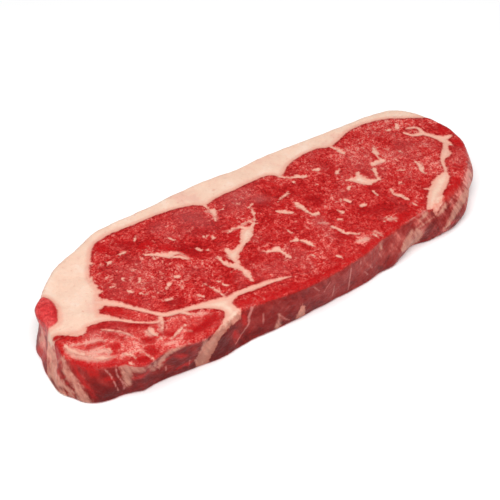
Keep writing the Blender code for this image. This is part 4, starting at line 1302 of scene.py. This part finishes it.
        # The pale skin of a bundle shows here and there, and creases run where a noise crosses 0; each crease
        # is sunk in the bump and darkened in the colour as painted shade.
        skin = r.times(r.step(edge, 0.02, 0.13, 1.0, 0.0), r.step(crumb, -0.10, 0.10))
        patch = r.noise(place, 6.0, 3.0)
        away = r.add("Math", {0: r.noise(place, 1.5, 2.0, 0.6)}, operation="ABSOLUTE")
        shaded_crease = r.step(away, 0.0, 0.05, 1.0, 0.0)
        grain = r.total((fibre, 1.3), (crumb, 1.0), (lot, 0.2), (skin, 0.12), (shaded_crease, -0.10), start=-0.03)
        coarse = r.step(r.total((patch, 1.6), (given[Channel.FLECKED], 0.32)), -0.6, 0.3,
                        0.55 * self.lean.grain, 1.0 * self.lean.grain)
        pale = r.total((r.times(grain, coarse), 1.0), (patch, 0.75), (masks[Channel.PALE], 0.2),
                       (masks[Channel.DEEP], -0.08), (given[Channel.TONE], 0.15), start=0.445)
        core = r.step(r.total((given[Channel.PALE], 1.0), (crumb, 1.4)), -0.1, 2.2, 0.0, 0.75)
        dusk = r.total((r.noise(place, 7.0, 3.0, 0.6), 1.0), (crumb, 0.3), (given[Channel.FLECKED], 0.08))
        shade = r.painted(r.shades(pale, self.lean.reds),
                          (r.times(given[Channel.DULL], 0.4), colour(self.lean.dull)),
                          (r.times(r.step(dusk, -0.02, 0.16), 0.3 * self.lean.grain), colour(self.lean.dusk)),
                          (r.times(masks[Channel.VIVID], 0.75), colour(self.lean.vivid)),
                          (r.times(masks[Channel.DEEP], 0.5), colour(self.lean.crimson)),
                          (core, colour(self.lean.pale)))
        return shade, r.total((fibre, 0.5), (crumb, 0.9), (skin, 0.06), (shaded_crease, -0.10))

    def wall_surface(self, r: Recipe, given: dict[Channel, Any], place: Any, crumb: Any, streak: Any,
                     masks: dict[Channel, Any]) -> tuple[Any, Any]:
        """Writes the colour and height of the side walls, whose fibres run up and lean over.

        Args:
            r: The material's recipe.
            given: The channels.
            place: The place in millimetres.
            crumb: The crumbs of the meat.
            streak: The upright fibres.
            masks: The masks of the marks.

        Returns:
            The colour and the height.
        """
        broad = r.noise(place, self.wall.broad, 3.0)
        # The fibres show more towards the round end
        fan = r.times(streak, r.step(r.add("SeparateXYZ", {0: place}), *self.wall.fan, 0.45, 1.3))
        pale = r.total((fan, 1.0), (broad, 0.6), (crumb, 0.35), (given[Channel.TONE], 0.18), start=0.47)
        streaked = r.total((streak, 1.5), start=0.7)
        shade = r.painted(r.shades(pale, self.wall.mauves),
                          (r.times(masks[Channel.VIVID], 0.75), colour(self.wall.vivid)),
                          (r.times(masks[Channel.DEEP], 0.7), colour(self.wall.deep)),
                          (r.times(masks[Channel.PALE], streaked), colour(self.wall.pale)),
                          (r.times(masks[Channel.THREAD], 0.6), colour(self.wall.thread)))
        return shade, r.total((fan, 0.6), (broad, 0.9), (crumb, 0.4))

    def fat_surface(self, r: Recipe, place: Any, border: Any, wall: Any, streak: Any,
                    tone: Any) -> tuple[Any, Any]:
        """Writes the colour and height of the fat.

        Args:
            r: The material's recipe.
            place: The place in millimetres.
            border: The depth inside the fat.
            wall: How far the wall shows.
            streak: The upright fibres.
            tone: The tone's channel.

        Returns:
            The colour and the height.
        """
        patch = r.noise(place, self.fat.patch, 3.0)
        lobes = r.noise(place, self.fat.lobule, 4.0, 0.6)
        # The fat of the side walls, whose darker stops are partly painted shade
        side = r.total((streak, 1.0), (patch, 0.5), (tone, 0.22), start=0.5)
        shade = r.shades(r.total((patch, 0.8), (lobes, 0.35), start=0.5), self.fat.creams)
        shade = r.painted(shade, (r.step(border, 1.2, 3.6, 0.9, 0.0), colour(self.fat.vein)),
                          (r.step(border, -0.1, 1.1, 0.85, 0.0), colour(self.fat.fringe)),
                          (r.times(wall, 0.8), r.shades(side, self.fat.wall)))
        return shade, r.total((patch, 0.6), (lobes, 0.35), start=-0.1)


class Piece(Enum):
    """The pieces of the steak: the CAD node that each replaces."""

    LEAN = "lean"
    FAT = "fat_cap"
    RIM = "rim_muscle"


@dataclass
class Steak:
    """The steak: cuts the slice into its pieces, dresses them and ties them to the frame."""

    slice: SteakSlice
    anatomy: Anatomy
    names: dict[Piece, str] = field(default_factory=lambda: {
        Piece.LEAN: "loin_lean", Piece.FAT: "back_fat", Piece.RIM: "corner_muscle"})
    slots: dict[Piece, str] = field(default_factory=lambda: {
        Piece.LEAN: "lean_meat", Piece.FAT: "fat", Piece.RIM: "rim_meat"})
    finishes: dict[Piece, MeatFinish] = field(default_factory=lambda: {
        Piece.LEAN: MeatFinish(LeanFinish()),
        Piece.FAT: MeatFinish(LeanFinish(name="beef_fat")),
        Piece.RIM: MeatFinish(LeanFinish(
            name="raw_beef_rim", flecked=-2.0, grain=0.3,
            reds=((0.2, "d9262b"), (0.40, "ee4647"), (0.56, "f8625f"), (0.85, "fa948c")),
        )),
    })
    crease_angle: float = 50.0  # degrees

    def build(self) -> list[bpy.types.Object]:
        """Builds every piece.

        Returns:
            The finished pieces.
        """
        whole = self.slice.model(self.anatomy)
        LOG.info("slice: %d points", len(whole.data.vertices))
        cap = self.anatomy.cap.cutter("cap_cutter")
        corner = self.anatomy.corner.cutter("corner_cutter")
        cuts = {
            Piece.LEAN: ((cap, "DIFFERENCE"),),
            Piece.FAT: ((cap, "INTERSECT"), (corner, "DIFFERENCE")),
            Piece.RIM: ((corner, "INTERSECT"),),
        }
        pieces = [self.cut(whole, piece, cuts[piece]) for piece in Piece]
        for helper in (whole, cap, corner):
            bpy.data.objects.remove(helper, do_unlink=True)
        return pieces

    def cut(self, whole: bpy.types.Object, piece: Piece,
            cuts: tuple[tuple[bpy.types.Object, str], ...]) -> bpy.types.Object:
        """Cuts one piece from a copy of the slice and dresses it.

        Args:
            whole: The slice.
            piece: Which piece.
            cuts: The cutter and the operation of each cut.

        Returns:
            The piece.
        """
        obj = bpy.data.objects.new(self.names[piece], whole.data.copy())
        bpy.context.scene.collection.objects.link(obj)
        for cutter, operation in cuts:
            self.slice.finished(obj, "BOOLEAN", operation, operation=operation, solver="MANIFOLD",
                                object=cutter)
        obj.vertex_groups.clear()
        for channel, values in self.anatomy.channels(read_points(obj)).items():
            attribute = obj.data.attributes.new(channel.value, "FLOAT", "POINT")
            attribute.data.foreach_set("value", values.astype(np.float32))
        obj.data.materials.clear()
        obj.data.materials.append(self.finishes[piece].material())
        only(obj)
        bpy.ops.object.shade_smooth_by_angle(angle=math.radians(self.crease_angle))
        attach(obj, "root")
        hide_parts(piece.value)
        return obj


@dataclass
class Studio:
    """A white sheet under a white sky, a large softbox overhead and the camera. Lengths are in metres."""

    floor_size: float = 6.0
    card: tuple[float, ...] = (0.96, 0.96, 0.96, 1.0)
    sky: float = 0.25
    softbox_size: float = 1.2
    softbox_power: float = 17.2
    softbox_place: tuple[float, float, float] = (-0.2, -0.35, 1.05)
    lens: float = 100.0  # mm, as is the sensor
    sensor: float = 36.0
    azimuth: float = -30.0  # degrees, as is the elevation
    elevation: float = 43.0
    distance: float = 0.685
    target: tuple[float, float, float] = (-0.009, 0.0005, 0.011)

    def build(self) -> None:
        """Builds the floor, the lights and the camera."""
        self.lay_floor()
        self.light()
        self.set_camera()

    def lay_floor(self) -> None:
        """Lays the white sheet: matt card, which shows no gloss."""
        bpy.ops.object.select_all(action="DESELECT")
        bpy.ops.mesh.primitive_plane_add(size=self.floor_size, location=(0, 0, 0))
        floor = bpy.context.object
        floor.name = "floor"
        r = Recipe("white_card")
        shader = r.add("BsdfPrincipled", {"Base Color": self.card, "Roughness": 0.9,
                                          "Specular IOR Level": 0.1})
        r.add("OutputMaterial", {"Surface": shader}, out=None)
        floor.data.materials.append(r.material)

    def light(self) -> None:
        """Sets the white sky and the softbox."""
        world = bpy.data.worlds.new("white_sky")
        bpy.context.scene.world = world
        world.use_nodes = True
        background = world.node_tree.nodes["Background"]
        background.inputs["Color"].default_value = (1.0, 1.0, 1.0, 1.0)
        background.inputs["Strength"].default_value = self.sky
        bpy.ops.object.light_add(type="AREA", location=self.softbox_place)
        lamp = bpy.context.object
        lamp.name = "softbox"
        lamp.data.shape = "DISK"
        lamp.data.size = self.softbox_size
        lamp.data.energy = self.softbox_power
        lamp.rotation_euler = Vector(self.softbox_place).to_track_quat("Z", "Y").to_euler()

    def set_camera(self) -> None:
        """Places the camera, looking at the target from its azimuth and elevation."""
        turn, rise = math.radians(self.azimuth), math.radians(self.elevation)
        back = Vector((math.sin(turn) * math.cos(rise), -math.cos(turn) * math.cos(rise), math.sin(rise)))
        bpy.ops.object.camera_add(location=Vector(self.target) + back * self.distance)
        camera = bpy.context.object
        camera.name = "camera"
        camera.data.lens = self.lens
        camera.data.sensor_width = self.sensor
        camera.rotation_euler = back.to_track_quat("Z", "Y").to_euler()
        bpy.context.scene.camera = camera
        bpy.context.scene.view_settings.view_transform = "Standard"


def main() -> None:
    """Builds the steak and its studio, and notes the sizes."""
    logging.basicConfig(level=logging.INFO, format="%(name)s: %(message)s")
    rim = Rim(OUTLINE, WALL)
    whole = SteakSlice(rim)
    cap = Zone(CAP_TOP, CAP_OUTSIDE_TOP, CAP_FOOT, CAP_OUTSIDE_FOOT, whole.thickness)
    corner = Zone(RIM_TOP, RIM_OUTSIDE_TOP, RIM_FOOT, RIM_OUTSIDE_FOOT, whole.thickness)
    for piece in Steak(whole, Anatomy(rim, cap, corner, whole.thickness)).build():
        LOG.info("%s: %d faces", piece.name, len(piece.data.polygons))
    Studio().build()


if __name__ == "__main__":
    main()
